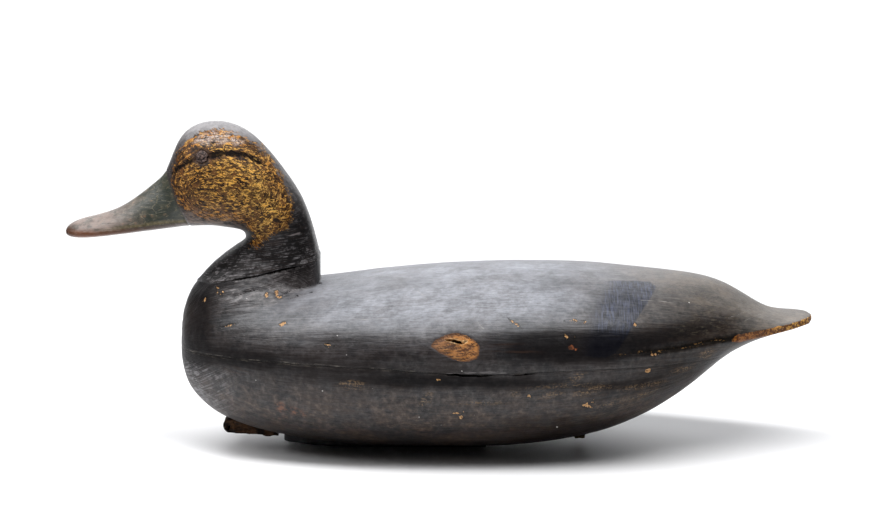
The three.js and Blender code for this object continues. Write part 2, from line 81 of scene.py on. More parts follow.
# Head, as in the CAD: inner and outer point, half width, share where it is widest, powers
HEAD_STATIONS = [
    (-215, 124.4, -215, 124.4, 0, 0.35, 2.1, 2.2), (-213, 121.9, -213, 127.9, 8.5, 0.35, 2.1, 2.3),
    (-207, 121.1, -207, 130.9, 13.2, 0.32, 2.1, 2.4), (-197, 121.6, -197, 133.6, 15.6, 0.28, 1.9, 2.4),
    (-184, 123, -184, 138.1, 15.6, 0.24, 1.75, 2.4), (-171, 124.4, -171.5, 146, 14.2, 0.22, 1.7, 2.4),
    (-159.5, 125.7, -160.5, 155.5, 14.4, 0.24, 1.7, 2.4), (-150.5, 126.9, -156, 161.8, 17, 0.32, 1.8, 2.3),
    (-143.5, 127.5, -151.4, 172.6, 21.5, 0.42, 1.95, 2.2), (-136, 127.8, -144.2, 182.8, 25, 0.44, 2, 2.2),
    (-128.5, 127.7, -129.8, 187.8, 27.5, 0.44, 2, 2.2), (-121, 126.8, -113.8, 184.4, 28.6, 0.44, 2, 2.2),
    (-115.3, 125.9, -100, 173.2, 28.4, 0.46, 2.05, 2.2), (-112, 124, -89, 159.4, 27, 0.48, 2.1, 2.15),
    (-111.6, 120.8, -80.2, 145.7, 25.4, 0.5, 2.3, 2.1), (-114.8, 117.3, -74.2, 130.8, 24.2, 0.52, 2.6, 2.05),
    (-126.8, 109.2, -70.9, 118, 24, 0.54, 3.2, 2), (-139.4, 96.2, -68.8, 109.4, 25, 0.55, 4, 2),
]
SEAT_REACH, SEAT_REACH_BACK = 30.0, 1.6


def smooth(x, low, high):
    t = np.clip((x - low) / (high - low), 0, 1)
    return t * t * (3 - 2 * t)


def lerp(a, b, t):
    return a + (b - a) * t


class Curve:
    """Natural cubic curve through rows of numbers, carried on smoothly round its ends."""

    def __init__(self, rows, mirror_start, mirror_end=None):
        before = [mirror_start(rows[i]) for i in (3, 2, 1)]
        after = [mirror_end(rows[i]) for i in (-2, -3, -4)] if mirror_end else []
        self.rows = np.array(before + rows + after, float)
        steps = np.linalg.norm(np.diff(self.rows, axis=0), axis=1)
        self.stops = np.concatenate([[0], np.cumsum(steps)])
        self.start = self.stops[len(before)]
        self.end = self.stops[len(before) + len(rows) - 1]
        matrix = np.eye(len(self.stops))
        right = np.zeros_like(self.rows)
        for i in range(1, len(self.stops) - 1):
            matrix[i, i - 1 : i + 2] = steps[i - 1], 2 * (steps[i - 1] + steps[i]), steps[i]
            turn = (self.rows[i + 1] - self.rows[i]) / steps[i]
            turn -= (self.rows[i] - self.rows[i - 1]) / steps[i - 1]
            right[i] = 6 * turn
        self.bends = np.linalg.solve(matrix, right)

    def at(self, share):
        where = lerp(self.start, self.end, share)
        i = np.clip(np.searchsorted(self.stops, where, side="left") - 1, 0, len(self.stops) - 2)
        gap = (self.stops[i + 1] - self.stops[i])[..., None]
        t = (where - self.stops[i])[..., None] / gap
        left = 1 - t
        bow = (left**3 - left) * self.bends[i] + (t**3 - t) * self.bends[i + 1]
        return left * self.rows[i] + t * self.rows[i + 1] + bow * gap * gap / 6


body_curve = Curve(
    BODY_STATIONS,
    lambda r: [r[0], r[2], r[1], -r[3], r[4]],
    lambda r: [r[0], r[1], r[2], -r[3], r[4]],
)
head_curve = Curve(HEAD_STATIONS, lambda r: [r[2], r[3], r[0], r[1], -r[4], *r[5:]])

# Body sections at closely spaced x, to look up in between
sections = body_curve.at(np.linspace(0, 1, 20001))
section_places = np.maximum.accumulate(sections[:, 0])


def powers_at(powers, x):
    """How full the body's outline is at x, across and upwards."""
    breast, tail = smooth(x, -150, -60), smooth(x, 95, 185)
    return [lerp(lerp(a, b, breast), c, tail) for a, b, c in zip(*powers)]


def section_at(x):
    """Half width, top, bottom and both sides of the edge of the body at x."""
    back, keel, half, edge = (np.interp(x, section_places, sections[:, i]) for i in (1, 2, 3, 4))
    rim = TAIL_RIM * smooth(x, 135, 190) * smooth(215.6 - x, 0, 3)
    top = np.maximum(back, edge + rim / 2 + 0.05)
    bottom = np.minimum(keel, edge - rim / 2 - 0.05)
    return np.maximum(half, 0.05), top, bottom, edge + rim / 2, edge - rim / 2


def outside_oval(across, along, half, reach, flat, full):
    radial = ((across / half) ** flat + (along / reach) ** full) ** (2 / (flat + full))
    return np.hypot(across, along) * (1 - 1 / np.maximum(radial, 1e-6))


def outside_body(x, y, z):
    half, top, bottom, edge_top, edge_bottom = section_at(x)
    y = np.abs(y)
    rise, fall = np.maximum(z - edge_top, 0), np.maximum(edge_bottom - z, 0)
    above = outside_oval(y, rise, half, top - edge_top, *powers_at(BACK_POWERS, x))
    below = outside_oval(y, fall, half, edge_bottom - bottom, *powers_at(BELLY_POWERS, x))
    return np.where(z > edge_top, above, below)


JOINT = HEAD_STATIONS[-1]
SEAT_MIDDLE = lerp(JOINT[0], JOINT[2], JOINT[5])


def outside_seat(x, y):
    away, y = np.abs(x - SEAT_MIDDLE), np.abs(y)
    behind = outside_oval(y, away, JOINT[4], JOINT[2] - SEAT_MIDDLE, JOINT[6], JOINT[6])
    before = outside_oval(y, away, JOINT[4], SEAT_MIDDLE - JOINT[0], JOINT[7], JOINT[7])
    return np.where(x > SEAT_MIDDLE, behind, before)


def blended(a, b, reach):
    overlap = np.maximum(reach - np.abs(a - b), 0) / reach
    return np.minimum(a, b) - overlap * overlap * reach / 4


def seat_reach(x, y, z):
    beside = np.minimum((y / 26) ** 2, 1) * smooth(z, 64, 92)
    return lerp(SEAT_REACH_BACK, SEAT_REACH, beside * (1 - smooth(x, -106, -76)))


def swollen(middle, points, farthest, outside):
    """Moves points out along rays from their middles until they leave the form."""
    shares = np.linspace(0, 1, 41)
    stretch = 1 + (farthest - 1)[..., None] * shares
    probes = middle[..., None, :] + (points - middle)[..., None, :] * stretch[..., None]
    free = outside(*np.moveaxis(probes, -1, 0)) >= 0
    first = np.where(free.any(-1), free.argmax(-1), len(shares) - 1)
    outer = np.take_along_axis(stretch, first[..., None], -1)[..., 0]
    inner = np.take_along_axis(stretch, np.maximum(first - 1, 0)[..., None], -1)[..., 0]
    for _ in range(24):
        half = (inner + outer) / 2
        probe = middle + (points - middle) * half[..., None]
        inside = outside(*np.moveaxis(probe[..., None, :], -1, 0))[..., 0] < 0
        inner, outer = np.where(inside, half, inner), np.where(inside, outer, half)
    return middle + (points - middle) * outer[..., None]


def quarter(share, width, rise, flat, full):
    angle = share * math.pi / 2
    return width * np.cos(angle) ** (2 / flat), rise * np.sin(angle) ** (2 / full)


def whole_rings(*halves):
    """Half rings on the side of +Y, keel to crown, made whole by their mirror image."""
    side = np.concatenate(halves, axis=1)
    other = side[:, 1:-1][:, ::-1] * np.array([1, -1, 1])
    return np.concatenate([side, other], axis=1)


# Rings of the body: first and last x, and how many
BODY_RUNS = [(-149.3, -145.9, 16), (-145.6, -76.8, 74), (-76.4, -70, 14), (-69.8, -68.9, 8)]
BODY_RUNS += [(-68.75, -64.6, 14), (-64, 205, 262), (205.6, 215, 22)]
BODY_STEPS = 84
SEAM_CROWDING, SEAM_SPREAD = 3.0, 0.05
TOP_OF_NECK = 122


def body_rings():
    x = np.concatenate([np.linspace(*run) for run in BODY_RUNS])[:, None]
    half, top, bottom, edge_top, edge_bottom = section_at(x)
    # belly steps stand closer together beside the seam
    seam_share = np.clip((edge_bottom - SEAM_HEIGHT) / (edge_bottom - bottom), 0, 1)
    seam_share = np.arcsin(seam_share) / (math.pi / 2)
    even = np.linspace(0, 1, 2001)[None]
    crowd = np.cumsum(1 + SEAM_CROWDING * np.exp(-(((even - seam_share) / SEAM_SPREAD) ** 2)), axis=1)
    crowd = (crowd - crowd[:, :1]) / (crowd[:, -1:] - crowd[:, :1])
    steps = np.linspace(1, 0, BODY_STEPS + 1)
    shares = np.array([np.interp(steps, row, even[0]) for row in crowd])
    y, fall = quarter(shares, half, edge_bottom - bottom, *powers_at(BELLY_POWERS, x))
    belly = np.stack([x + 0 * y, y, edge_bottom - fall], -1)
    steps = np.linspace(0, 1, BODY_STEPS + 1)[None]
    y, rise = quarter(steps, half, top - edge_top, *powers_at(BACK_POWERS, x))
    back = np.stack([x + 0 * y, y, edge_top + rise], -1)
    middle = np.stack([x + 0 * y, 0 * y, edge_top + 0 * y], -1)
    move = (x > JOINT[0] - 8) & (x < JOINT[2] + 6) & (rise > 8)

    def outside(x, y, z):
        return blended(outside_body(x, y, z), outside_seat(x, y), seat_reach(x, y, z))

    farthest = (TOP_OF_NECK - middle[..., 2]) / np.maximum(rise, 1)
    back[move] = swollen(middle[move], back[move], farthest[move], outside)
    return whole_rings(belly, back)


HEAD_RINGS, HEAD_STEPS = 300, 42


def head_rings():
    rows = head_curve.at(np.linspace(0.0015, 1, HEAD_RINGS))
    inner, outer = rows[:, [0, 1]], rows[:, [2, 3]]
    half, widest, back_power, throat_power = (rows[:, i : i + 1] for i in (4, 5, 6, 7))
    length = np.linalg.norm(outer - inner, axis=1, keepdims=True)
    along = (outer - inner) / length
    along = np.stack([along[:, 0], 0 * along[:, 0], along[:, 1]], -1)[:, None]
    middle = np.stack([inner[:, 0], 0 * inner[:, 0], inner[:, 1]], -1)[:, None]
    middle = middle + along * (widest * length)[..., None]
    sideways = np.array([0, 1, 0])
    steps = np.linspace(1, 0, HEAD_STEPS + 1)[None, :-1]
    y, fall = quarter(steps, half, widest * length, throat_power, throat_power)
    throat = middle - along * fall[..., None] + y[..., None] * sideways
    steps = np.linspace(0, 1, HEAD_STEPS + 1)[None]
    y, rise = quarter(steps, half, (1 - widest) * length, back_power, back_power)
    side = np.concatenate([throat, middle + along * rise[..., None] + y[..., None] * sideways], axis=1)
    flare = smooth(125 - middle[:, 0, 2], 0, 12)
    low = flare > 0
    base = np.broadcast_to(middle[low], side[low].shape)
    first = np.linalg.norm(side[low] - base, axis=-1)
    pull = np.broadcast_to(flare[low][:, None], first.shape)[..., None]

    def outside(x, y, z):
        away = np.linalg.norm(np.stack([x, y, z], -1) - base[..., None, :], axis=-1) - first[..., None]
        reach = np.maximum(pull * seat_reach(x, y, z), 0.01)
        return blended(away, outside_body(x, y, z), reach)

    side[low] = swollen(base, side[low], np.full(first.shape, 1.5), outside)
    return whole_rings(side)


# ---- noise and marks
lattice = np.random.default_rng(41).random((64, 64, 64))


def noise3(p, size):
    """Smooth noise from -1 to 1, its features about as large as the size given."""
    q = p / np.asarray(size, float)
    cell = np.floor(q).astype(int)
    t = q - cell
    t = t * t * (3 - 2 * t)
    total = 0
    for corner in np.ndindex(2, 2, 2):
        i, j, k = ((cell + corner) % 64).T
        wx, wy, wz = (t[:, n] if corner[n] else 1 - t[:, n] for n in range(3))
        total = total + lattice[i, j, k] * (wx * wy) * wz
    return total * 2 - 1


def to_line(u, v, line):
    """Distance from points to an open line of corners, and how far along it the nearest is."""
    best, where = np.full(u.shape, 1e9), np.zeros(u.shape)
    line = np.asarray(line, float)
    for i in range(len(line) - 1):
        a, run = line[i], line[i + 1] - line[i]
        t = np.clip(((u - a[0]) * run[0] + (v - a[1]) * run[1]) / (run @ run), 0, 1)
        d = np.hypot(u - a[0] - t * run[0], v - a[1] - t * run[1])
        nearer = d < best
        best = np.where(nearer, d, best)
        where = np.where(nearer, (i + t) / (len(line) - 1), where)
    return best, where


def to_patch(u, v, corners):
    """Signed distance from points to a closed outline, positive inside."""
    corners = np.asarray(corners, float)
    distance, _ = to_line(u, v, np.vstack([corners, corners[:1]]))
    inside = np.zeros(u.shape, bool)
    for a, b in zip(corners, np.roll(corners, -1, axis=0)):
        crosses = (a[1] > v) != (b[1] > v)
        rise = b[1] - a[1] if b[1] != a[1] else 1e-9
        inside ^= crosses & (u < a[0] + (v - a[1]) / rise * (b[0] - a[0]))
    return np.where(inside, distance, -distance)


LOOK = np.array([0, math.cos(CAMERA_ELEVATION), -math.sin(CAMERA_ELEVATION)])


def seen(p):
    """Where points show in the photograph, in its pixels; the far side is taken as mirrored."""
    up = np.array([0, math.sin(CAMERA_ELEVATION), math.cos(CAMERA_ELEVATION)])
    eye = np.array(CAMERA_TARGET) / MM - LOOK * (CAMERA_DISTANCE / MM)
    away = p * np.array([1, 0, 1]) - np.array([0, 1, 0]) * np.abs(p[:, 1:2]) - eye
    depth = away @ LOOK
    u = PHOTO_WIDTH / 2 + FOCAL_PIXELS * away[:, 0] / depth
    return u, PHOTO_HEIGHT / 2 - FOCAL_PIXELS * (away @ up) / depth


def in_oval(u, v, x, y, half_length, half_width, turn):
    """Place of points in a turned oval, 1 on its outline along either axis."""
    c, s = math.cos(math.radians(turn)), math.sin(math.radians(turn))
    return ((u - x) * c + (v - y) * s) / half_length, ((v - y) * c - (u - x) * s) / half_width


def blobs(u, v, ovals):
    """Signed distance in mm, positive inside, to the nearest of some ovals given in pixels."""
    best = np.full(u.shape, -50.0)
    for oval in ovals:
        best = np.maximum(best, (1 - np.hypot(*in_oval(u, v, *oval))) * min(oval[2:4]) * PIXEL)
    return best


def soft_ovals(u, v, ovals):
    """Sum of soft ovals given in pixels, each with its amount after its turn."""
    total = np.zeros(u.shape)
    for *oval, amount in ovals:
        along, across = in_oval(u, v, *oval)
        total += amount * np.exp(-0.8 * (along**2 + across**2))
    return np.clip(total, 0, 1.1)


# Marks, placed in the pixels of the photograph. Ovals: middle, half length, half width, turn in
# degrees, and for the soft ones (painted sheen with dust, and painted shade) an amount.
# The rest are lines and outlines.
CHIPS = [
    (205, 299.5, 1.9, 1.1, 110), (217.6, 288, 1.4, 0.8, 60), (217, 292.8, 1.1, 0.9, 0),
    (222.6, 291.4, 1.9, 0.9, 40), (220.4, 295, 0.9, 0.6, 0), (228, 326.2, 4.6, 0.8, -22),
    (283.2, 324, 2.6, 1.5, -20), (266.4, 295.2, 0.9, 1.9, 10), (277, 292.5, 1.5, 2.6, 20),
    (278.6, 297.2, 1.6, 0.8, 0), (329, 344.6, 3.4, 1, 8), (328.6, 346.6, 1.4, 0.8, 0),
    (515.6, 323.8, 3.4, 0.7, 38), (570.9, 320.6, 2.6, 0.6, -8), (576.6, 321.4, 2, 0.7, 0),
    (584.6, 322.3, 0.9, 1, 0), (566.4, 336.6, 1.2, 2, -20), (574.6, 337.4, 0.8, 2, 10),
    (461.6, 417.6, 2, 1.7, 0), (463.6, 411.6, 2.6, 0.9, -50), (457.6, 413.3, 3.4, 0.8, 0),
    (585.8, 404.4, 3.6, 1.5, -25), (588.6, 406.4, 2, 0.7, 20), (593.2, 400.8, 2.9, 1, -25),
    (648.4, 370.8, 1.9, 1.4, -20), (654.5, 354.6, 3.4, 0.6, 0), (438.2, 379.6, 1.5, 0.7, 0),
    (529.2, 396, 1.7, 1, 0), (634.9, 324.9, 1.6, 1.6, 0),
]
DOTS = [(x, y, 0.75, 0.65, 0) for x, y in (
    (322.5, 390.9), (372.7, 388), (543, 372), (461.8, 371.2), (497.4, 393), (474.2, 415.6), (440.7, 425),
    (337, 335.6), (689, 302.5), (346.5, 354.6), (256, 380), (419, 417), (557, 427), (246.5, 298.6),
)]
SCRATCHES = [
    [(473, 313), (476, 320), (480, 326), (487, 330.5)], [(478, 322), (484, 330)],
    [(728, 318), (745, 312), (760, 305)], [(742, 322), (755, 316), (768, 312)],
    [(412, 287), (424, 296), (432, 304)], [(216, 331), (222, 328.6), (232, 324.6)],
    [(350, 321), (372, 318.5), (391, 318)], [(640, 300), (662, 301), (676, 304)],
]
LIPS = [(452, 373.6, 9, 0.9, 2), (470, 372.6, 8, 1.6, 0), (487, 372.4, 9, 1.4, 0), (503, 373.2, 5, 0.7, 0)]
STAINS = [(497, 349, 22, 2.6, 0), (508, 345, 15, 1.6, -3), (520, 352, 18, 2, 2), (236, 371, 14, 4, 8)]
RED_CHIPS = [(571.4, 347.6, 3.2, 2.3, 10), (576, 349.6, 1.3, 1.2, 0)]
FAR_CHIPS = [
    (236, 332, 2.4, 1.4, 20), (301, 315, 2.8, 1.1, -30), (262, 401, 2.6, 1.7, 0), (352, 372, 3.2, 0.9, 5),
    (415, 331, 2, 1.4, 40), (497, 407, 3, 1.8, -15), (548, 350, 3.4, 1, 0), (604, 391, 2.6, 1.3, -20),
    (447, 300, 2.2, 0.8, 60), (664, 366, 2, 1.2, 0),
]
KNOT = [
    (430, 345.8), (435.6, 339.8), (442.9, 336.2), (450.2, 333.6), (457.4, 332.6), (464.7, 334.4), (472, 338),
    (477.1, 342), (479.6, 347), (479, 353.8), (476.3, 359), (469.1, 361.8), (460.3, 361.6), (451.6, 358.9),
    (444.3, 355.2), (437.1, 351.2),
]
KNOT_SLIT = [(446.6, 340), (452, 340.4), (457.5, 341.8), (462, 343), (466.4, 341.2)]
SPECULUM = [
    (603, 281), (615, 280.3), (630, 280.6), (650, 281.3), (656.4, 287), (651, 297.6), (643.4, 309.6),
    (637, 319), (632, 328), (627, 337), (621, 346), (616, 353), (606, 358), (594, 358), (580, 355),
    (578, 345), (580, 335), (583, 322), (588, 310), (594, 295),
]
SPECULUM_FRONT = [(607, 276), (594, 295), (588, 310), (583, 322), (580, 335), (577, 358)]
OPEN_SEAM = [
    (392, 369.6), (405, 371.4), (417, 373.6), (431, 374.2), (445, 375.2), (456, 375), (467, 376.1),
    (479, 376.6), (487, 375.8), (500, 376), (520, 374.6), (545, 373.6), (572, 371.6),
]
CREASE = [
    (614, 355), (630, 353.5), (650, 351.7), (672, 349.4), (690, 346), (703, 342.7), (720, 340), (735, 338),
]
FINE_CRACKS = [
    [(235, 296), (245, 293.4), (251, 291), (259, 289.6)],
    [(281, 295.6), (288, 292), (294, 290), (300, 287.8), (310, 285.6), (321, 283)],
    [(288, 300), (296, 296.4), (303, 294.4), (312, 292.4)],
]
# Browner, worn places
RUST = [(280, 407, 7, 5.5, 10), (292, 410.5, 14, 4, 14), (283, 417, 5, 1.6, -8), (303, 413.5, 7, 2.5, 8)]
SCUFFS = [
    (352, 385, 13, 4.5, 6), (426, 400, 8, 4, -50), (577, 377, 7, 2.6, -22), (551, 395, 12, 2, -8),
    (586, 392, 11, 3.2, -12), (515, 394, 4, 2.4, 0), (636, 387, 11, 1.8, -12), (600, 388, 9, 1.6, -4),
    (707, 354, 7, 3.6, -20), (655, 384, 8, 1.4, -16), (683, 369, 9, 2, -20), (480, 403, 16, 1.4, 0),
    (610, 404, 12, 1.6, -20), (640, 396, 12, 1.4, -22), (560, 386, 20, 1.4, -4),
]
FAR_SCUFFS = [(320, 388, 14, 4, 4), (470, 398, 12, 3, 0), (560, 382, 16, 2.4, -8), (630, 390, 12, 2, -16)]
# Painted sheen with dust: soft ovals of pale grey on the back, breast and tail; some take it away
SHEEN_AND_DUST_OVALS = [
    (352, 304, 46, 22, -12, 0.5), (430, 301, 70, 24, 0, 1.05), (520, 298, 75, 20, 2, 1),
    (402, 326, 30, 8, 0, 0.28), (316, 318, 40, 14, 0, 0.26), (470, 266, 190, 11, 0, 1.1),
    (395, 284, 40, 5, -8, -0.35), (470, 280, 50, 4, -4, -0.3), (330, 340, 60, 8, 0, 0.1),
    (780, 315, 44, 10, 8, 1.3), (740, 296, 40, 10, 28, 0.35), (690, 288, 60, 12, 12, 0.35),
]
# Painted shade: soft ovals that darken the paint to near black along the seam, above the crease, under the
# bulges and at the neck
SHADE = [
    (672, 334, 62, 9, -10, 1), (600, 346, 45, 13, 0, 0.8), (545, 352, 50, 11, 0, 0.85),
    (400, 356, 60, 8, 2, 0.4), (300, 366, 150, 8, 3, 0.6), (232, 354, 50, 10, 8, 0.7),
    (480, 384, 150, 6, 1, 0.6), (204, 325, 9, 34, 0, 0.5), (300, 268, 26, 9, -14, 0.9),
    (246, 262, 30, 5, -35, 0.6), (425, 380, 120, 7, 1, 0.5), (192, 350, 10, 30, 0, 0.6),
    (215, 284, 44, 13, -14, 0.75), (548, 341, 52, 13, 0, 0.7), (640, 382, 60, 14, -18, 0.45),
    (545, 424, 60, 10, -6, 0.5), (690, 367, 44, 14, -25, 0.45), (196, 312, 18, 40, 12, 0.5),
    (604, 346, 34, 12, 0, 0.6), (692, 316, 40, 12, -5, 0.35), (345, 338, 50, 9, 0, 0.6),
    (500, 340, 46, 11, 0, 0.12), (248, 323, 26, 11, 0, 0.22), (345, 284, 22, 7, -4, 0.16),
    (560, 436, 120, 7, -12, 0.8), (330, 439, 120, 6, 4, 0.3), (708, 383, 40, 8, -38, 0.5),
]
# Painted shade on the head: soft ovals that darken the throat, jaw, nape and neck
HEAD_SHADE = [
    (262, 254, 24, 12, -15, 0.7), (228, 262, 24, 10, -38, 0.65), (296, 236, 16, 26, -12, 0.8),
    (247, 237, 14, 13, 0, 1), (300, 262, 22, 12, -10, 0.6), (222, 276, 40, 11, -8, 0.9),
    (212, 221, 36, 6, 0, 0.4), (303, 208, 10, 26, -18, 0.5),
]

# Marks of the head in its side view, in mm: x and z
CHEEK = [
    (-150.1, 169.7), (-145.3, 176.2), (-139.6, 181.3), (-132.8, 184.1), (-125.4, 184.6), (-118, 183),
    (-112, 180), (-105.6, 177.2), (-100.6, 172.4), (-95.8, 166.9), (-92.7, 161.6), (-89.7, 156.2),
    (-86.9, 151.2), (-85.1, 146.3), (-83.9, 141.5), (-83.8, 137.7), (-84.9, 133.4), (-86.6, 130.1),
    (-90, 127.9), (-92.8, 126.2), (-96.3, 123.9), (-99.2, 121.5), (-102.1, 117.3), (-106.2, 116.5),
    (-108.1, 119.9), (-106.2, 124.3), (-109.1, 128.2), (-112.2, 132.8), (-118.5, 133.8), (-125.5, 133.4),
    (-131.8, 133.9), (-137.4, 135.1), (-141.9, 137), (-145.2, 138.8), (-148.6, 143.9), (-151.6, 150.4),
    (-152.3, 158.5),
]
STRIPE = [(-130.9, 170.6), (-124.1, 172.1), (-117.4, 172.3), (-111.2, 171.6), (-105.7, 168.9), (-99.7, 164.2)]
FRONT_STRIPE = [(-138.6, 169), (-143.6, 166.4), (-148.5, 163.1), (-151.7, 159.8)]
BILL_END = [
    (-160, 166), (-156.1, 157.7), (-153.5, 152.3), (-151, 146.5), (-148.1, 140.4), (-145.5, 135),
    (-143.8, 130), (-141.5, 122),
]
BILL_OUTLINE = [(-230, 110), (-230, 180), *BILL_END]
BILL_BAND = [(-212, 126), (-197, 126.4), (-173.9, 129.3), (-159.6, 131), (-144.1, 132.3)]
BILL_EDGE = [(-216, 125), (-208.5, 124.3), (-193.9, 123.8), (-176.9, 125.6), (-159.9, 127.6), (-144.6, 129.1)]
NECK_LINE = [(-93.4, 122.7), (-87.2, 124.4), (-79.5, 126.2)]
BROW = [
    (-141, 177.5), (-136, 181.8), (-127, 184.4), (-117, 182.6), (-109, 177.2), (-113, 175.6), (-122, 176.8),
    (-131, 175.6),
]
EYE_PLACE = (-134.6, 170.3)
CHEEK_MIDDLE, CHEEK_FOCUS = (-121, 151), 18

# Seam and neck joint, in mm: x and z
SEAM_LINE = [
    (-160, 57.6), (-149, 58.3), (-124, 59.3), (-93, 59.6), (-62, 59.3), (-30, 58.6), (-12, 57.4), (8, 56.4),
    (30, 56.3), (56, 57.5), (90, 57.7), (130, 57.3), (230, 56.5),
]
JOINT_TILT = math.atan2(JOINT[3] - JOINT[1], JOINT[2] - JOINT[0])
JOINT_NORMAL = (-math.sin(JOINT_TILT), 0, math.cos(JOINT_TILT))
JOINT_POINT = (JOINT[0], 0, JOINT[1])
FINE_GAP = 0.04


# ---- meshes
def linked(name, data):
    obj = bpy.data.objects.new(name, data)
    bpy.context.scene.collection.objects.link(obj)
    return obj


def grid_object(name, rings):
    count, around = rings.shape[:2]
    i = np.arange(count - 1)[:, None] * around
    j = np.arange(around)[None]
    k = (j + 1) % around
    quads = np.stack([i + j, i + around + j, i + around + k, i + k], -1).reshape(-1, 4)
    last = [(count - 1) * around + n for n in range(around)][::-1]
    mesh = bpy.data.meshes.new(name)
    mesh.from_pydata((rings * MM).reshape(-1, 3).tolist(), [], [*quads.tolist(), [*range(around)], last])
    return linked(name, mesh)


def edit(obj, change):
    bm = bmesh.new()
    bm.from_mesh(obj.data)
    change(bm)
    bm.to_mesh(obj.data)
    bm.free()
    obj.data.update()


def tidy_mesh(bm):
    bmesh.ops.remove_doubles(bm, verts=bm.verts, dist=2e-6)
    bmesh.ops.dissolve_degenerate(bm, edges=bm.edges, dist=1e-7)
    bmesh.ops.recalc_face_normals(bm, faces=bm.faces)


def read(obj, field):
    values = np.empty(len(obj.data.vertices) * 3)
    obj.data.vertices.foreach_get(field, values)
    return values.reshape(-1, 3)


def coords(obj):
    return read(obj, "co") / MM


def set_coords(obj, p):
    obj.data.vertices.foreach_set("co", (p * MM).ravel())
    obj.data.update()


def push_out(obj, p, relief):
    set_coords(obj, p + read(obj, "normal") * relief[:, None])


def cut_plane(bm, point, normal):
    """Cuts away what lies on the normal's side of a plane, and closes the cut."""
    geom = [*bm.verts, *bm.edges, *bm.faces]
    plane = {"plane_co": Vector(point) * MM, "plane_no": Vector(normal)}
    cut = bmesh.ops.bisect_plane(bm, geom=geom, dist=1e-7, clear_outer=True, **plane)
    edges = [e for e in cut["geom_cut"] if isinstance(e, bmesh.types.BMEdge) and e.is_boundary]
    bmesh.ops.holes_fill(bm, edges=edges, sides=0)


def cut_with(obj, cutter):
    """Takes the cutter's solid out of an object, and removes the cutter."""
    modifier = obj.modifiers.new("recess", "BOOLEAN")
    modifier.operation = "DIFFERENCE"
    modifier.object = cutter
    modifier.solver = "EXACT"
    result = bpy.data.meshes.new_from_object(obj.evaluated_get(bpy.context.evaluated_depsgraph_get()))
    obj.modifiers.clear()
    obj.data = result
    bpy.data.objects.remove(cutter)


SHARP_ANGLE = math.radians(42)


def finish_mesh(obj):
    def change(bm):
        bmesh.ops.remove_doubles(bm, verts=bm.verts, dist=1e-6)
        bmesh.ops.triangulate(bm, faces=[f for f in bm.faces if len(f.verts) > 4])
        bmesh.ops.recalc_face_normals(bm, faces=bm.faces)

    edit(obj, change)
    obj.data.shade_smooth()
    obj.data.set_sharp_from_angle(angle=SHARP_ANGLE)


def store(obj, name, values):
    values = np.asarray(values, np.float32)
    kind, field = ("FLOAT_VECTOR", "vector") if values.ndim == 2 else ("FLOAT", "value")
    layer = obj.data.attributes.new(name, kind, "POINT")
    layer.data.foreach_set(field, values.ravel())


def dressed(piece, node):
    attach(piece, "root")
    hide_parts(node)


# ---- relief and wear, which are worked out at points p in mm
def seam_height(x):
    line = np.array(SEAM_LINE)
    return np.interp(x, line[:, 0], line[:, 1])


def opened_joint(p):
    """Distance to the open neck joint, kept high where paint still covers the joint."""
    x, y, z = p.T
    across = (x - JOINT[0]) * JOINT_NORMAL[0] + (z - JOINT[1]) * JOINT_NORMAL[2]
    # the joint has opened widest on the near side, behind the middle
    width = smooth(-y, 4, 12) * smooth(x, -132, -112) * (1 - smooth(x, -88, -72) * 0.8)
    width = width * (0.8 + 0.35 * noise3(p, (7, 40, 40)))
    wander = 0.25 * noise3(p, (5, 30, 30))
    return np.abs(across + wander) + 1.1 * (1 - np.minimum(width * 1.25, 1))


def neck_zone(p):
    """1 on the crudely cut wood round the neck joint, falling to 0 outside it."""
    back, z = p[:, 0] + 97, p[:, 2]
    place = np.hypot(back, (z - 101 - 0.18 * back) * 2.1)
    return (1 - smooth(place, 22, 36)) * smooth(z, 82, 90)


def crude_cuts(p):
    """Relief of short rough knife cuts, running back and slightly up."""
    x, y, z = p.T
    turned = np.stack([x + 0.2 * z, y, z - 0.25 * x], -1)
    return 0.42 * np.minimum(noise3(turned, (8, 5, 2.0)), 0.25) + 0.26 * noise3(turned + 7, (3.6, 3, 1.5))


def flow_of(p):
    """Places along and round the body, where a degree is about a millimetre, for brush marks."""
    x, y, z = p.T
    return np.stack([x, np.degrees(np.arctan2(z - 60, np.abs(y))), y * 0.35], -1)


def stroke_flow(p):
    """Places along and across the strokes on the cheek, which bend round its middle."""
    far = (p[:, 0] - CHEEK_MIDDLE[0]) + 1j * (p[:, 2] - CHEEK_MIDDLE[1])
    bent = np.arccosh(far / CHEEK_FOCUS + 0j)
    return np.stack([bent.imag * 24, bent.real * 17, p[:, 1] * 0.2], -1)


def dip(distance, width):
    return np.exp(-((distance / width) ** 2))


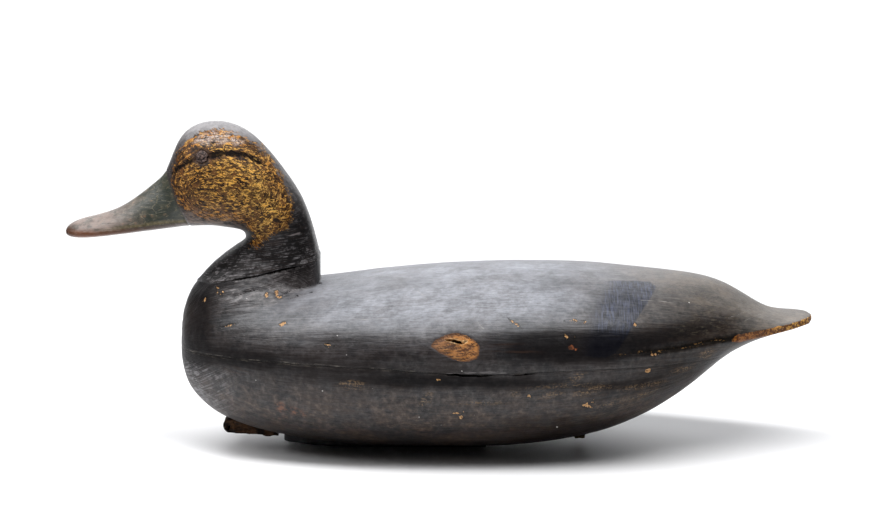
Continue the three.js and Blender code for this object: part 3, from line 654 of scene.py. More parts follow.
def body_marks(p):
    """Distances in mm and amounts from 0 to 1, which shape and colour the worn places and place the painted
    shade and sheen.
    """
    x, y, z = p.T
    u, v = seen(p)
    near = y < 0
    flow = flow_of(p)
    ragged = noise3(p, 2.2) * 0.45 + noise3(p + 9, 5) * 0.3

    def line_at(line, v=v):
        distance, share = to_line(u, v, line)
        return distance * PIXEL, np.sin(np.pi * np.clip(share, 0, 1))

    def ovals(marks, far=()):
        return np.where(near, blobs(u, v, marks), blobs(u, v, far))

    def nearest(lines):
        return np.min([line_at(line)[0] for line in lines], axis=0)

    m = SimpleNamespace(seam=z - seam_height(x), joint=opened_joint(p), neck=neck_zone(p))
    m.chip = ovals(CHIPS, FAR_CHIPS) + ragged * 0.7
    m.red_chip = ovals(RED_CHIPS) + ragged * 0.6
    m.lip = ovals(LIPS) + ragged * 0.4
    m.rust, m.dot, m.stain, m.scuff = ovals(RUST), ovals(DOTS), ovals(STAINS), ovals(SCUFFS, FAR_SCUFFS)
    m.knot = np.where(near, to_patch(u, v, KNOT) * PIXEL, -50) + ragged * 0.45
    slit, bow = line_at(KNOT_SLIT)
    m.slit = np.where(near, slit - 0.2 - 0.6 * bow**1.2, 50)
    m.speculum = to_patch(u, v, SPECULUM) * PIXEL
    m.speculum_front, _ = line_at(SPECULUM_FRONT)
    # soft amounts of painted sheen with dust, and of painted shade
    m.bloom = np.where(near, 1, 0.75) * soft_ovals(u, v, SHEEN_AND_DUST_OVALS)
    m.shade = soft_ovals(u, v, SHADE)
    m.crack = np.where(near, nearest(FINE_CRACKS) + 0.25 * noise3(p, 3), 50)
    m.scratch = np.where(near, nearest(SCRATCHES) + 0.12 * noise3(p, 2), 50)
    # the split at the seam, widest in its middle
    wander = 0.9 * noise3(flow, (9, 50, 50)) + 0.5 * noise3(flow + 5, (3.5, 50, 50))
    opened, bow = line_at(OPEN_SEAM, v + wander)
    width = 0.42 * bow**0.6 * (1 + 0.9 * noise3(flow + 30, (10, 60, 60)))
    solid = smooth(u, 440, 456) * (1 - smooth(u, 478, 502) * 0.8)
    closed = (1 - solid) * (0.62 + 0.8 * noise3(p + 60, (4, 4, 2)))
    m.split = np.where(near, opened - width + closed, 50)
    # the crease low on the tail, and the ledge above it
    m.crease, _ = line_at(CREASE)
    line = np.array(CREASE)
    above = (np.interp(u, line[:, 0], line[:, 1]) - v) * PIXEL
    ledge = np.where(above > 0, np.clip(1 - above / 11, 0, 1) ** 2, dip(above, 0.9))
    m.ledge = ledge * smooth(u, 596, 650) * (1 - smooth(u, 722, 742))
    # the worn edge of the tail's rim
    half, _, _, edge_top, edge_bottom = section_at(x)
    beside = np.maximum((half - np.abs(y)) / 1.5, 0)
    rim = 3.0 - np.hypot(beside, (z - (edge_top + edge_bottom) / 2 + 0.6) * 1.15)
    m.rim = np.where(x > 150, rim, -50) - 6 * (1 - smooth(x, 160, 169))
    return m


def body_relief(p, m):
    """Height of the carved surface over the smooth form, in millimetres."""
    x, _, z = p.T
    flow = flow_of(p)
    relief = 0.2 * noise3(p, 34) + 0.09 * noise3(p + 50, 13)
    relief += 0.045 * noise3(flow, (16, 2.2, 5)) + 0.03 * noise3(flow + 20, (7, 1.3, 4))
    low_breast = (1 - smooth(x, -132, -96)) * (1 - smooth(z, 50, 60))
    relief += 0.13 * low_breast * noise3(flow + 11, (30, 2.4, 6))
    relief += m.neck * crude_cuts(p)
    cut_breast = (1 - smooth(x, -120, -70)) * smooth(z, 50, 80)
    relief += 0.16 * cut_breast * np.minimum(noise3(p + 31, (9, 7, 3)), 0.2)
    relief += np.minimum(-0.3 * (0.55 + 0.45 * noise3(p, (14, 9, 9))) * dip(m.seam, 0.5), 0)
    relief -= 0.42 * smooth(m.knot, -0.25, 0.5)
    relief += smooth(m.knot, 0.2, 2.5) * (0.12 + 0.16 * noise3(flow, (6, 1.7, 4)))
    relief -= 2.2 * (1 - smooth(m.slit, -0.35, 0.35))
    relief -= 1.9 * (1 - smooth(m.split, -0.3, 0.3))
    relief -= 0.32 * smooth(np.maximum(m.chip, m.red_chip), -0.15, 0.45)
    relief -= 0.9 * dip(m.crack, 0.5) * (0.6 + 0.4 * noise3(p + 3, 5))
    relief -= 0.12 * dip(m.scratch, 0.4)
    relief -= 0.7 * m.ledge
    relief -= 0.1 * smooth(m.rust, 0, 2) * np.maximum(noise3(p, 2.4), 0)
    relief += smooth(m.rim, 0, 0.8) * 0.22 * noise3(p, 2.1)
    return relief - 1.5 * dip(m.joint, 0.5)


def head_marks(p):
    x, _, z = p.T
    ragged = noise3(p, 1.8) * 0.5 + noise3(p + 9, 4.5) * 0.6
    stripe, share = to_line(x, z, STRIPE)
    front, _ = to_line(x, z, FRONT_STRIPE)
    m = SimpleNamespace(joint=opened_joint(p), neck=neck_zone(p), shade=soft_ovals(*seen(p), HEAD_SHADE))
    m.cheek, m.bill = to_patch(x, z, CHEEK), to_patch(x, z, BILL_OUTLINE)
    m.brow = to_patch(x, z, BROW) + ragged
    m.stripe = np.minimum(stripe - lerp(1.75, 0.4, share), front - 0.7) + ragged * 0.3
    m.groove = stripe + 0.25 * noise3(p, 5)
    m.band, m.edge, m.neck_line = (to_line(x, z, line)[0] for line in (BILL_BAND, BILL_EDGE, NECK_LINE))
    m.eye = np.hypot(x - EYE_PLACE[0], z - EYE_PLACE[1])
    return m


def head_relief(p, m):
    relief = 0.15 * noise3(p, 22) + 0.06 * noise3(p + 50, 8)
    on_bill = smooth(m.bill, -0.4, 0.6)
    relief += 0.05 * noise3(p, (7, 4, 1.5)) * (1 - on_bill)
    relief -= 0.42 * dip(m.groove, 0.9)
    # ring and pocket of the eye
    relief -= 0.2 * dip(m.eye - 4.7, 0.55) + 0.75 * (1 - smooth(m.eye, 3.7, 4.4))
    # the bill starts a little below the face, with a line cut round its root
    relief -= 0.3 * on_bill * (1 - smooth(m.bill, 4, 12))
    relief -= 0.35 * dip(m.bill, 0.55)
    relief += 0.12 * on_bill * dip(m.edge, 2.2) - 0.16 * on_bill * dip(m.band, 0.8)
    relief += 0.05 * on_bill * noise3(p, 3)
    relief += (0.35 + 0.65 * m.neck) * (1 - smooth(p[:, 2], 112, 130)) * crude_cuts(p)
    relief -= 0.3 * dip(m.neck_line, 0.6) * (p[:, 1] < 0)
    return relief - 1.5 * dip(m.joint, 0.5)


# ---- body halves: the seam is cut flat in a warped blank, and warped back to its bowed line
blank = grid_object("body_blank", body_rings())
edit(blank, tidy_mesh)
points = coords(blank)
points = points + read(blank, "normal") * body_relief(points, body_marks(points))[:, None]
points[:, 2] -= seam_height(points[:, 0]) - SEAM_HEIGHT
set_coords(blank, points)


def body_half(name, side):
    """The half of the body on the given side of the seam: 1 above it, -1 below it."""
    half = linked(name, blank.data.copy())
    edit(half, lambda bm: cut_plane(bm, (0, 0, SEAM_HEIGHT + side * FINE_GAP / 2), (0, 0, -side)))
    p = coords(half)
    p[:, 2] += seam_height(p[:, 0]) - SEAM_HEIGHT
    set_coords(half, p)
    return half


body_upper = body_half("upper_half", 1)
under_joint = tuple(np.array(JOINT_POINT) - FINE_GAP * np.array(JOINT_NORMAL))
edit(body_upper, lambda bm: cut_plane(bm, under_joint, JOINT_NORMAL))
body_lower = body_half("lower_half", -1)
bpy.data.objects.remove(blank)

# Lead strip: flat underneath, its front bent up along the keel and its front corners rounded
LEAD_FRONT, LEAD_BEND, LEAD_BACK = -90.0, -46.0, 27.0
LEAD_HALF_WIDTH, LEAD_THICKNESS, LEAD_LIFT, LEAD_CORNER = 15.0, 4.6, 3.4, 3.0
GAP = 0.3
RECESS_DEPTH = 12


def lead_recess():
    """The strip grown all round by the gap and reaching down out of the body."""
    front, back, half = LEAD_FRONT - GAP, LEAD_BACK + GAP, LEAD_HALF_WIDTH + GAP
    turn = np.linspace(0, math.pi / 2, 9)
    x = np.concatenate([front + LEAD_CORNER * (1 - np.cos(turn)), np.linspace(front + 5, back, 60)])
    y = half - np.concatenate([LEAD_CORNER * (1 - np.sin(turn)), np.zeros(60)])
    rise = LEAD_LIFT * (np.clip(LEAD_BEND - x, 0, None) / (LEAD_BEND - front)) ** 2
    top, low = LEAD_THICKNESS + GAP + rise, rise - RECESS_DEPTH
    corners = ((-1, low), (1, low), (1, top), (-1, top))
    columns = [np.stack([x, side * y, z], -1) for side, z in corners]
    return grid_object("lead_recess", np.stack(columns, axis=1))


cutter = lead_recess()
edit(cutter, tidy_mesh)
cut_with(body_lower, cutter)

head = grid_object("head_and_neck", head_rings())
edit(head, tidy_mesh)
points = coords(head)
push_out(head, points, head_relief(points, head_marks(points)))
edit(head, lambda bm: cut_plane(bm, JOINT_POINT, tuple(-n for n in JOINT_NORMAL)))

for piece, node in ((body_upper, "body_upper"), (body_lower, "body_lower"), (head, "head")):
    finish_mesh(piece)
    dressed(piece, node)
    points = coords(piece)
    marks = head_marks(points) if piece is head else body_marks(points)
    for name, values in vars(marks).items():
        store(piece, name, np.clip(values, -30, 30))
    store(piece, "flow", flow_of(points))
    if piece is head:
        store(piece, "strokes", stroke_flow(points))
    store(piece, "up", read(piece, "normal")[:, 2])


FLAT_ANGLE, EDGE_ANGLE = math.radians(2), math.radians(35)
MOST_CUTS = 9


def worn_copy(node, slot, fineness, bevel, amount, size):
    """A piece that follows its CAD node, with worn edges and an uneven surface."""
    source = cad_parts[node]
    bm = bmesh.new()
    bm.from_mesh(source.data)
    bm.transform(source.matrix_world)
    bmesh.ops.remove_doubles(bm, verts=bm.verts, dist=1e-6)
    bmesh.ops.dissolve_limit(bm, angle_limit=FLAT_ANGLE, verts=bm.verts, edges=bm.edges)
    sharp = [e for e in bm.edges if e.is_manifold and e.calc_face_angle() > EDGE_ANGLE]
    rounding = {"segments": 2, "profile": 0.5, "affect": "EDGES", "clamp_overlap": True}
    bmesh.ops.bevel(bm, geom=sharp, offset=bevel * MM, **rounding)
    bmesh.ops.triangulate(bm, faces=bm.faces)
    for _ in range(MOST_CUTS):
        long = [e for e in bm.edges if e.calc_length() > fineness * MM]
        if not long:
            break
        bmesh.ops.subdivide_edges(bm, edges=long, cuts=1)
        bmesh.ops.triangulate(bm, faces=[f for f in bm.faces if len(f.verts) > 3])
    mesh = bpy.data.meshes.new(node + "_worn")
    bm.to_mesh(mesh)
    bm.free()
    piece = linked(node + "_worn", mesh)
    p = coords(piece)
    push_out(piece, p, amount * (noise3(p + 7, size) * 0.65 + noise3(p + 40, size * 0.45) * 0.35 - 0.35))
    mesh.shade_smooth()
    dressed(piece, node)
    return piece


# Small pieces: slot, longest edge, bevel, unevenness, all in mm, and the size of its features
TACK = ("tack_metal", 0.5, 0.2, 0.15, 2)
SMALL = {}
for side in ("left", "right"):
    SMALL["eye_tack_" + side] = ("tack_metal", 0.35, 0.35, 0.3, 1.7)
    SMALL["loop_tack_" + side] = TACK
SMALL |= {f"lead_nail_{number}": TACK for number in range(1, 5)}
SMALL["lead_strip"] = ("lead", 1.1, 0.5, 0.22, 6)
SMALL["line_loop"] = ("leather", 0.5, 0.5, 0.7, 2.2)
SMALL["rear_stub"] = ("leather", 0.5, 0.4, 0.6, 2.0)
worn = {node: worn_copy(node, *numbers) for node, numbers in SMALL.items()}


# ---- node trees
class Signal:
    """A value in a node tree, which can be added to and multiplied."""

    def __init__(self, shade, socket):
        self.shade, self.socket = shade, socket

    def _math(self, operation, other, swap=False):
        a, b = (other, self) if swap else (self, other)
        return self.shade.value("ShaderNodeMath", {0: a, 1: b}, operation=operation)

    def __add__(self, other):
        return self._math("ADD", other)

    def __mul__(self, other):
        return self._math("MULTIPLY", other)

    def __sub__(self, other):
        return self._math("SUBTRACT", other)

    def __rsub__(self, other):
        return self._math("SUBTRACT", other, swap=True)

    __radd__, __rmul__ = __add__, __mul__

    def top(self, other):
        return self._math("MAXIMUM", other)

    def size(self):
        return self._math("ABSOLUTE", 0)

    def sway(self, amount):
        """Noise from 0 to 1 made to swing round 0, by half the amount either way."""
        return (self - 0.5) * amount

    def span(self, low, high, to_low=0, to_high=1):
        inputs = {"Value": self, "From Min": low, "From Max": high, "To Min": to_low, "To Max": to_high}
        return self.shade.value("ShaderNodeMapRange", inputs, interpolation_type="SMOOTHSTEP")

    def fade(self, low, high):
        return 1 - self.span(low, high)


class Shade:
    """Short names for building a node tree."""

    def __init__(self, tree):
        self.tree = tree

    def add(self, kind, inputs=None, out=0, **settings):
        node = self.tree.nodes.new(kind)
        for key, value in settings.items():
            setattr(node, key, value)
        for key, value in (inputs or {}).items():
            value = value.socket if isinstance(value, Signal) else value
            value = value.color if isinstance(value, Coats) else value
            socket = node.inputs[key]
            if isinstance(value, bpy.types.NodeSocket):
                self.tree.links.new(value, socket)
            else:
                socket.default_value = (*value[:3], 1) if socket.type == "RGBA" else value
        return node if out is None else node.outputs[out]

    def value(self, kind, inputs, out=0, **settings):
        return Signal(self, self.add(kind, inputs, out, **settings))

    def part(self, vector, axis):
        return self.value("ShaderNodeSeparateXYZ", {0: vector}, axis)

    def __getitem__(self, name):
        """The stored mark of that name."""
        return self.value("ShaderNodeAttribute", {}, "Fac", attribute_name=name)

    def flow(self, name):
        return self.add("ShaderNodeAttribute", {}, "Vector", attribute_name=name)

    def scaled(self, vector, sizes):
        return self.add("ShaderNodeVectorMath", {0: vector, 1: sizes}, operation="MULTIPLY")

    def place(self):
        """The point on the object, in millimetres."""
        return self.scaled(self.add("ShaderNodeTexCoord", out="Object"), (1000, 1000, 1000))

    def turned(self, vector, degrees):
        """The vector turned about Y, so that strokes can run at an angle in the side view."""
        inputs = {"Vector": vector, "Axis": (0, 1, 0), "Angle": math.radians(degrees)}
        return self.add("ShaderNodeVectorRotate", inputs, rotation_type="AXIS_ANGLE")

    def noise(self, vector, size, detail=3, rough=0.55, shift=0):
        """Noise from 0 to 1, its features about as large as the size, in millimetres."""
        size = size if isinstance(size, tuple) else (size, size, size)
        inputs = {0: vector, 1: tuple(1 / s for s in size), 2: (shift, shift, shift)}
        vector = self.add("ShaderNodeVectorMath", inputs, operation="MULTIPLY_ADD")
        inputs = {"Vector": vector, "Scale": 1, "Detail": detail, "Roughness": rough}
        return self.value("ShaderNodeTexNoise", inputs)

    def threads(self, vector, size, width, shift=0):
        """Thin lines, 1 along their middle, that wander between the features of a noise."""
        return (self.noise(vector, size, 2, 0.5, shift) - 0.5).size().fade(width * 0.3, width)

    def mix(self, share, a, b):
        return self.add("ShaderNodeMix", {0: share, 6: a, 7: b}, 2, data_type="RGBA")


class Coats:
    """A colour on which coats are laid, each by its share of what is there."""

    def __init__(self, shade, share, a, b):
        self.shade = shade
        self.color = shade.mix(share, a, b)

    def __call__(self, share, tint):
        self.color = self.shade.mix(share, self.color, tint)


def material(name, build):
    """A material from a function that gives colour, roughness, height in millimetres and gloss."""
    made = bpy.data.materials.new(name)
    made.use_nodes = True
    shader = made.node_tree.nodes["Principled BSDF"]
    shade = Shade(made.node_tree)
    coats, rough, height, gloss = build(shade)
    bump = shade.add("ShaderNodeBump", {"Height": height, "Distance": MM, "Strength": 1})
    sockets = {"Base Color": coats.color, "Roughness": rough.socket, "Specular IOR Level": gloss.socket}
    for socket, value in (sockets | {"Normal": bump}).items():
        made.node_tree.links.new(value, shader.inputs[socket])
    return made


def paint_with(obj, made):
    obj.data.materials.clear()
    obj.data.materials.append(made)


BLACK, SOOT, BROWN = (0.0125, 0.0115, 0.0125), (0.026, 0.0205, 0.02), (0.042, 0.026, 0.018)
NAVY = (0.0075, 0.009, 0.016)
SHEEN_AND_DUST_GREY, REAR_SHEEN_AND_DUST = (0.345, 0.36, 0.4), (0.27, 0.25, 0.23)
CRACK = (0.004, 0.0035, 0.003)
RED = (0.26, 0.085, 0.035)


def body_paint(s):
    spot, flow = s.place(), s.flow("flow")
    x = s.part(flow, 0)
    broad = s.noise(spot, 46)
    cloud = s.noise(spot, 15, 4, 0.6)
    mottle = s.noise(spot, 3.4, 4, 0.65)
    speck = s.noise(spot, 0.9, 2)
    grit = s.noise(spot, 1.1, 3, 0.65)
    streak = s.noise(flow, (30, 1.7, 5), 4, 0.62)
    hair = s.noise(flow, (10, 0.6, 2), 3, 0.6, 7)
    up, seam = s["up"], s["seam"]
    rear = x.span(70, 150)
    low = (0 - seam).span(2, 26)

    thread = s.threads(flow, (34, 1.5, 5), 0.05, 21)
    fine_thread = s.threads(flow, (13, 0.9, 3), 0.06, 27)
    wobble = cloud.sway(1) + streak.sway(0.9) + mottle.sway(0.3)
    # the painted shade and the painted sheen with dust, their edges broken by noise
    shade = s["shade"] + wobble * s["shade"].span(0.03, 0.35)
    bloom = s["bloom"] + wobble * s["bloom"].span(0.03, 0.35) * 0.5
    paint = Coats(s, (broad + mottle.sway(0.5)).span(0.38, 0.62), BLACK, SOOT)
    breast = x.fade(-152, -118) * seam.span(2, 12) * 0.6
    patchy = (streak * 0.3 + cloud * 0.4 + mottle * 0.4).span(0.46, 0.64)
    browned = (low * 0.6 + rear * 0.5 + breast + 0.2) * patchy
    paint(browned, BROWN)
    paint(low * mottle.span(0.5, 0.66) * cloud.span(0.4, 0.6) * 0.7, (0.08, 0.048, 0.026))
    # painted shade: near black where the shade mark lies, with random darker patches of the paint
    paint((shade * 0.75).top(cloud.fade(0.36, 0.5) * 0.5), (0.0055, 0.005, 0.0055))

    # navy patch with upright brush strokes; slate-blue bars where it faces up are a painted sheen, and it is
    # darker in the painted shade
    bars = s.noise(spot, (0.9, 9, 7), 3, 0.6)
    patch = (s["speculum"] + mottle.sway(1.6)).span(-0.5, 0.7)
    patch = patch * (s["speculum_front"] + cloud.sway(16) + mottle.sway(6)).span(-2, 11)
    slate_sheen = bars.span(0.4, 0.7) * (1 - shade) * up.span(0.1, 0.6)
    navy = s.mix(shade.span(0.1, 0.8), NAVY, (0.0045, 0.0045, 0.007))
    paint(patch, s.mix(slate_sheen, navy, (0.022, 0.032, 0.075)))

    # dust, a painted sheen and rubbed paint on what faces up
    facing = up.span(-0.05, 0.75)
    wisps = s.threads(s.turned(spot, 24), (24, 16, 6), 0.09, 77)
    swept = s.noise(s.turned(spot, 20), (34, 20, 7), 3, 0.55, 81)
    grain = 0.25 + cloud.span(0.3, 0.7) * 0.18 + swept.span(0.3, 0.7) * 0.3 + hair.span(0.3, 0.7) * 0.19
    grain = grain + mottle.span(0.35, 0.72) * 0.19 + wisps * 0.16 + grit.span(0.4, 0.62) * 0.13
    # pale grey on what faces up: settled dust with a painted sheen, a little less behind the middle
    top_dust_and_sheen = up.span(0.35, 0.95) * 0.5 * (1 - x.span(40, 85) * x.fade(140, 170) * 0.35)
    top_dust_and_sheen = top_dust_and_sheen + up.span(0.88, 1) * 0.35
    dust_and_sheen = (bloom * facing).top(top_dust_and_sheen) * grain * 0.74
    dust_and_sheen = dust_and_sheen * (1 - patch * 0.93) * (1 - s["neck"] * 0.75) * (1 - shade.span(0, 0.9) * 0.93)
    dust_and_sheen = dust_and_sheen * (1 - fine_thread * 0.3) + facing * thread * (1 - shade) * 0.06
    barred = bars.span(0.3, 0.75) * (0.05 + cloud.span(0.35, 0.6) * 0.08)
    dust_and_sheen = dust_and_sheen + patch * up.span(0.15, 0.6) * barred * (1 - shade)
    paint(dust_and_sheen, s.mix(rear, SHEEN_AND_DUST_GREY, REAR_SHEEN_AND_DUST))
    rubbed = hair.span(0.55, 0.75) * (0.03 + facing * 0.05) + speck.span(0.64, 0.72) * 0.09
    rubbed = rubbed + mottle.span(0.54, 0.7) * 0.07
    hairlines = s.threads(s.turned(spot, -32), (40, 16, 0.9), 0.06, 121)
    hairlines = hairlines.top(s.threads(s.turned(spot, 12), (50, 20, 0.8), 0.05, 127))
    rubbed = rubbed + hairlines * cloud.span(0.45, 0.6) * facing * 0.16
    fan = x.fade(-142, -106) * low.span(0, 0.25)
    rubbed = rubbed + thread * (0.035 + facing * 0.05) + fine_thread * (0.03 + s["neck"] * 0.16)
    rubbed = rubbed * (1 - shade.span(0, 0.9) * 0.85) * (1 - patch * 0.95)
    scored = s.threads(s.turned(spot, 34), (90, 24, 1.05), 0.085, 87) * (0.35 + mottle.span(0.4, 0.6))
    rubbed = rubbed.top(fan * scored * 0.62)
    paint(rubbed, s.mix(rear, (0.26, 0.25, 0.26), (0.24, 0.18, 0.12)))

    # scratched grey and tan paint at the root of the tail
    root = x.span(120, 150) * x.fade(176, 200) * up.span(0, 0.5)
    scratch = s.noise(spot, (4.2, 3, 0.8), 4, 0.7, 3)
    crossed = s.threads(s.turned(spot, 14), (26, 9, 1.1), 0.06, 33) * mottle.span(0.4, 0.6) * s["neck"]
    paint(crossed * 0.3, (0.33, 0.3, 0.3))
    paint(root * scratch.span(0.5, 0.7) * 0.32, (0.2, 0.17, 0.12))

    # tan streaks low on the side
    streaky = s.noise(flow, (7, 0.8, 4), 4, 0.7, 11)
    stippled = (streaky * 0.6 + grit * 0.55).span(0.56, 0.68)
    scuffed = s["scuff"].span(-1.6, 1.4) * stippled
    scattered = low * x.span(0, 90) * (streaky * 0.7 + grit * 0.4).span(0.64, 0.74) * 0.4
    paint(scuffed.top(scattered) * 0.62, (0.27, 0.17, 0.085))
    rusty = s["rust"].span(-0.8, 1.6) * (mottle * 0.7 + grit * 0.4).span(0.5, 0.66)
    paint(rusty * 0.75, (0.17, 0.058, 0.022))
    paint(s["stain"].span(-1, 1.2) * streak.span(0.4, 0.62) * 0.55, (0.05, 0.028, 0.02))
    paint(s["lip"].span(-0.1, 0.3) * streaky.span(0.35, 0.6) * 0.8, (0.13, 0.12, 0.12))
    paint(s["scratch"].fade(0.1, 0.4) * hair.span(0.4, 0.6) * 0.5, (0.36, 0.34, 0.32))

    # seam: dark line with pale flecks of old filler and bare edge
    flecks = s.noise(flow, (6.5, 0.7, 3), 5, 0.75, 5)
    beside = seam.size().fade(0.25, 1.5)
    front = x.fade(-40, 10)
    paint(beside * flecks.span(0.5, 0.7) * (0.2 + front * 0.2), (0.24, 0.21, 0.17))
    pale_line = (seam + streak.sway(1.6) - 0.45).size().fade(0.12, 0.42) * front * flecks.span(0.5, 0.64)
    paint(pale_line * 0.45, (0.42, 0.38, 0.33))
    paint(seam.size().fade(0.05, 0.4) * mottle.span(0.35, 0.6, 0.4, 0.95), CRACK)
    crumbs = s.noise(spot, (2.2, 2, 0.9), 3, 0.7, 9)
    crease = (s["crease"] + mottle.sway(5) + 0.6).fade(0.4, 2.2)
    # painted shade: near black along the crease low on the tail
    crease_shade = (s["crease"] + mottle.sway(1.5)).fade(0.6, 3.4) * x.span(95, 125)
    paint(crease_shade * 0.85, CRACK)
    paint(crease * crumbs.span(0.585, 0.65) * 0.75, (0.34, 0.19, 0.07))

    # bare knot: wavy grain, darker rings and a split
    knot = s["knot"]
    ripple = s.noise(s.turned(spot, 9), (7, 3, 0.85), 4, 0.7, 91).span(0.36, 0.62)
    ripple = ripple * 0.7 + s.noise(s.turned(spot, -38), (4, 3, 0.8), 3, 0.65, 95).span(0.4, 0.6) * 0.3
    fibre = (ripple + speck.sway(1.1) + mottle.sway(0.8)).span(0.3, 0.66)
    wood = Coats(s, fibre, (0.045, 0.014, 0.004), (0.5, 0.205, 0.045))
    wood(streaky.span(0.54, 0.68) * fibre * 0.6, (0.66, 0.38, 0.14))
    wood(cloud.fade(0.42, 0.56) * 0.4, (0.16, 0.06, 0.02))
    wood((x + mottle.sway(12)).fade(-2, 13) * 0.7, (0.11, 0.055, 0.032))
    wood(knot.fade(0.1, 1.9) * mottle.span(0.3, 0.6), (0.1, 0.04, 0.015))
    wood(s["slit"].fade(0.25, 1.1) * streaky.span(0.35, 0.55), (0.72, 0.47, 0.23))
    ragged = (knot + mottle.sway(1.8) + streaky.sway(1.6)).span(-0.25, 0.25)
    paint(ragged, wood)

    chipped = s["chip"] + mottle.sway(1.2) + speck.sway(1.6)
    paint(chipped.span(-0.85, -0.3) * mottle.span(0.45, 0.56) * 0.85, CRACK)
    chip = (chipped + grit.sway(1.4)).span(-0.06, 0.14)
    paint(chip, s.mix((grit * 0.6 + speck * 0.6).span(0.5, 0.72), (0.15, 0.06, 0.02), (0.6, 0.35, 0.155)))
    paint(s["dot"].span(-0.15, 0.1), (0.55, 0.53, 0.5))
    red = (s["red_chip"] + mottle.sway(1.2) + speck.sway(1.5)).span(-0.12, 0.25)
    paint(red, s.mix(mottle.span(0.4, 0.6), RED, (0.06, 0.025, 0.015)))

    # worn rim of the tail
    rim = (s["rim"] + mottle.sway(2.2)).span(-0.2, 0.35)
    pale = s.mix(x.span(178, 208), (0.27, 0.1, 0.02), (0.56, 0.29, 0.05))
    paint(rim, s.mix((grit + mottle.sway(0.8)).span(0.45, 0.6), (0.09, 0.03, 0.008), pale))

    dark = s["split"].fade(-0.1, 0.3).top(s["slit"].fade(-0.2, 0.25))
    dark = dark.top(s["joint"].fade(0.3, 0.9))
    dark = dark.top(s["crack"].fade(0.15, 0.5) * 0.85)
    paint(dark, CRACK)

    rough = 0.4 + dust_and_sheen * 0.35 + mottle.sway(0.3) + streak.sway(0.14) + rim * 0.2
    rough = rough + ragged * 0.22 + chip * 0.2
    height = streak.sway(0.22) + hair.sway(0.15) + mottle.sway(0.13) + speck.sway(0.05)
    height = height + knot.span(-0.1, 0.4) * (fibre - 0.5) * 0.22 - chip * 0.12 - dark * 0.4
    height = height + rim * (mottle - 0.5) * 0.5 + fan * (scored - 0.5) * 0.12
    gloss = mottle.span(0.3, 0.7, 0.26, 0.54) * (1 - shade.span(0, 1) * 0.8) * (1 - crease_shade * 0.9) * (1 - dark)
    return paint, rough, height, gloss


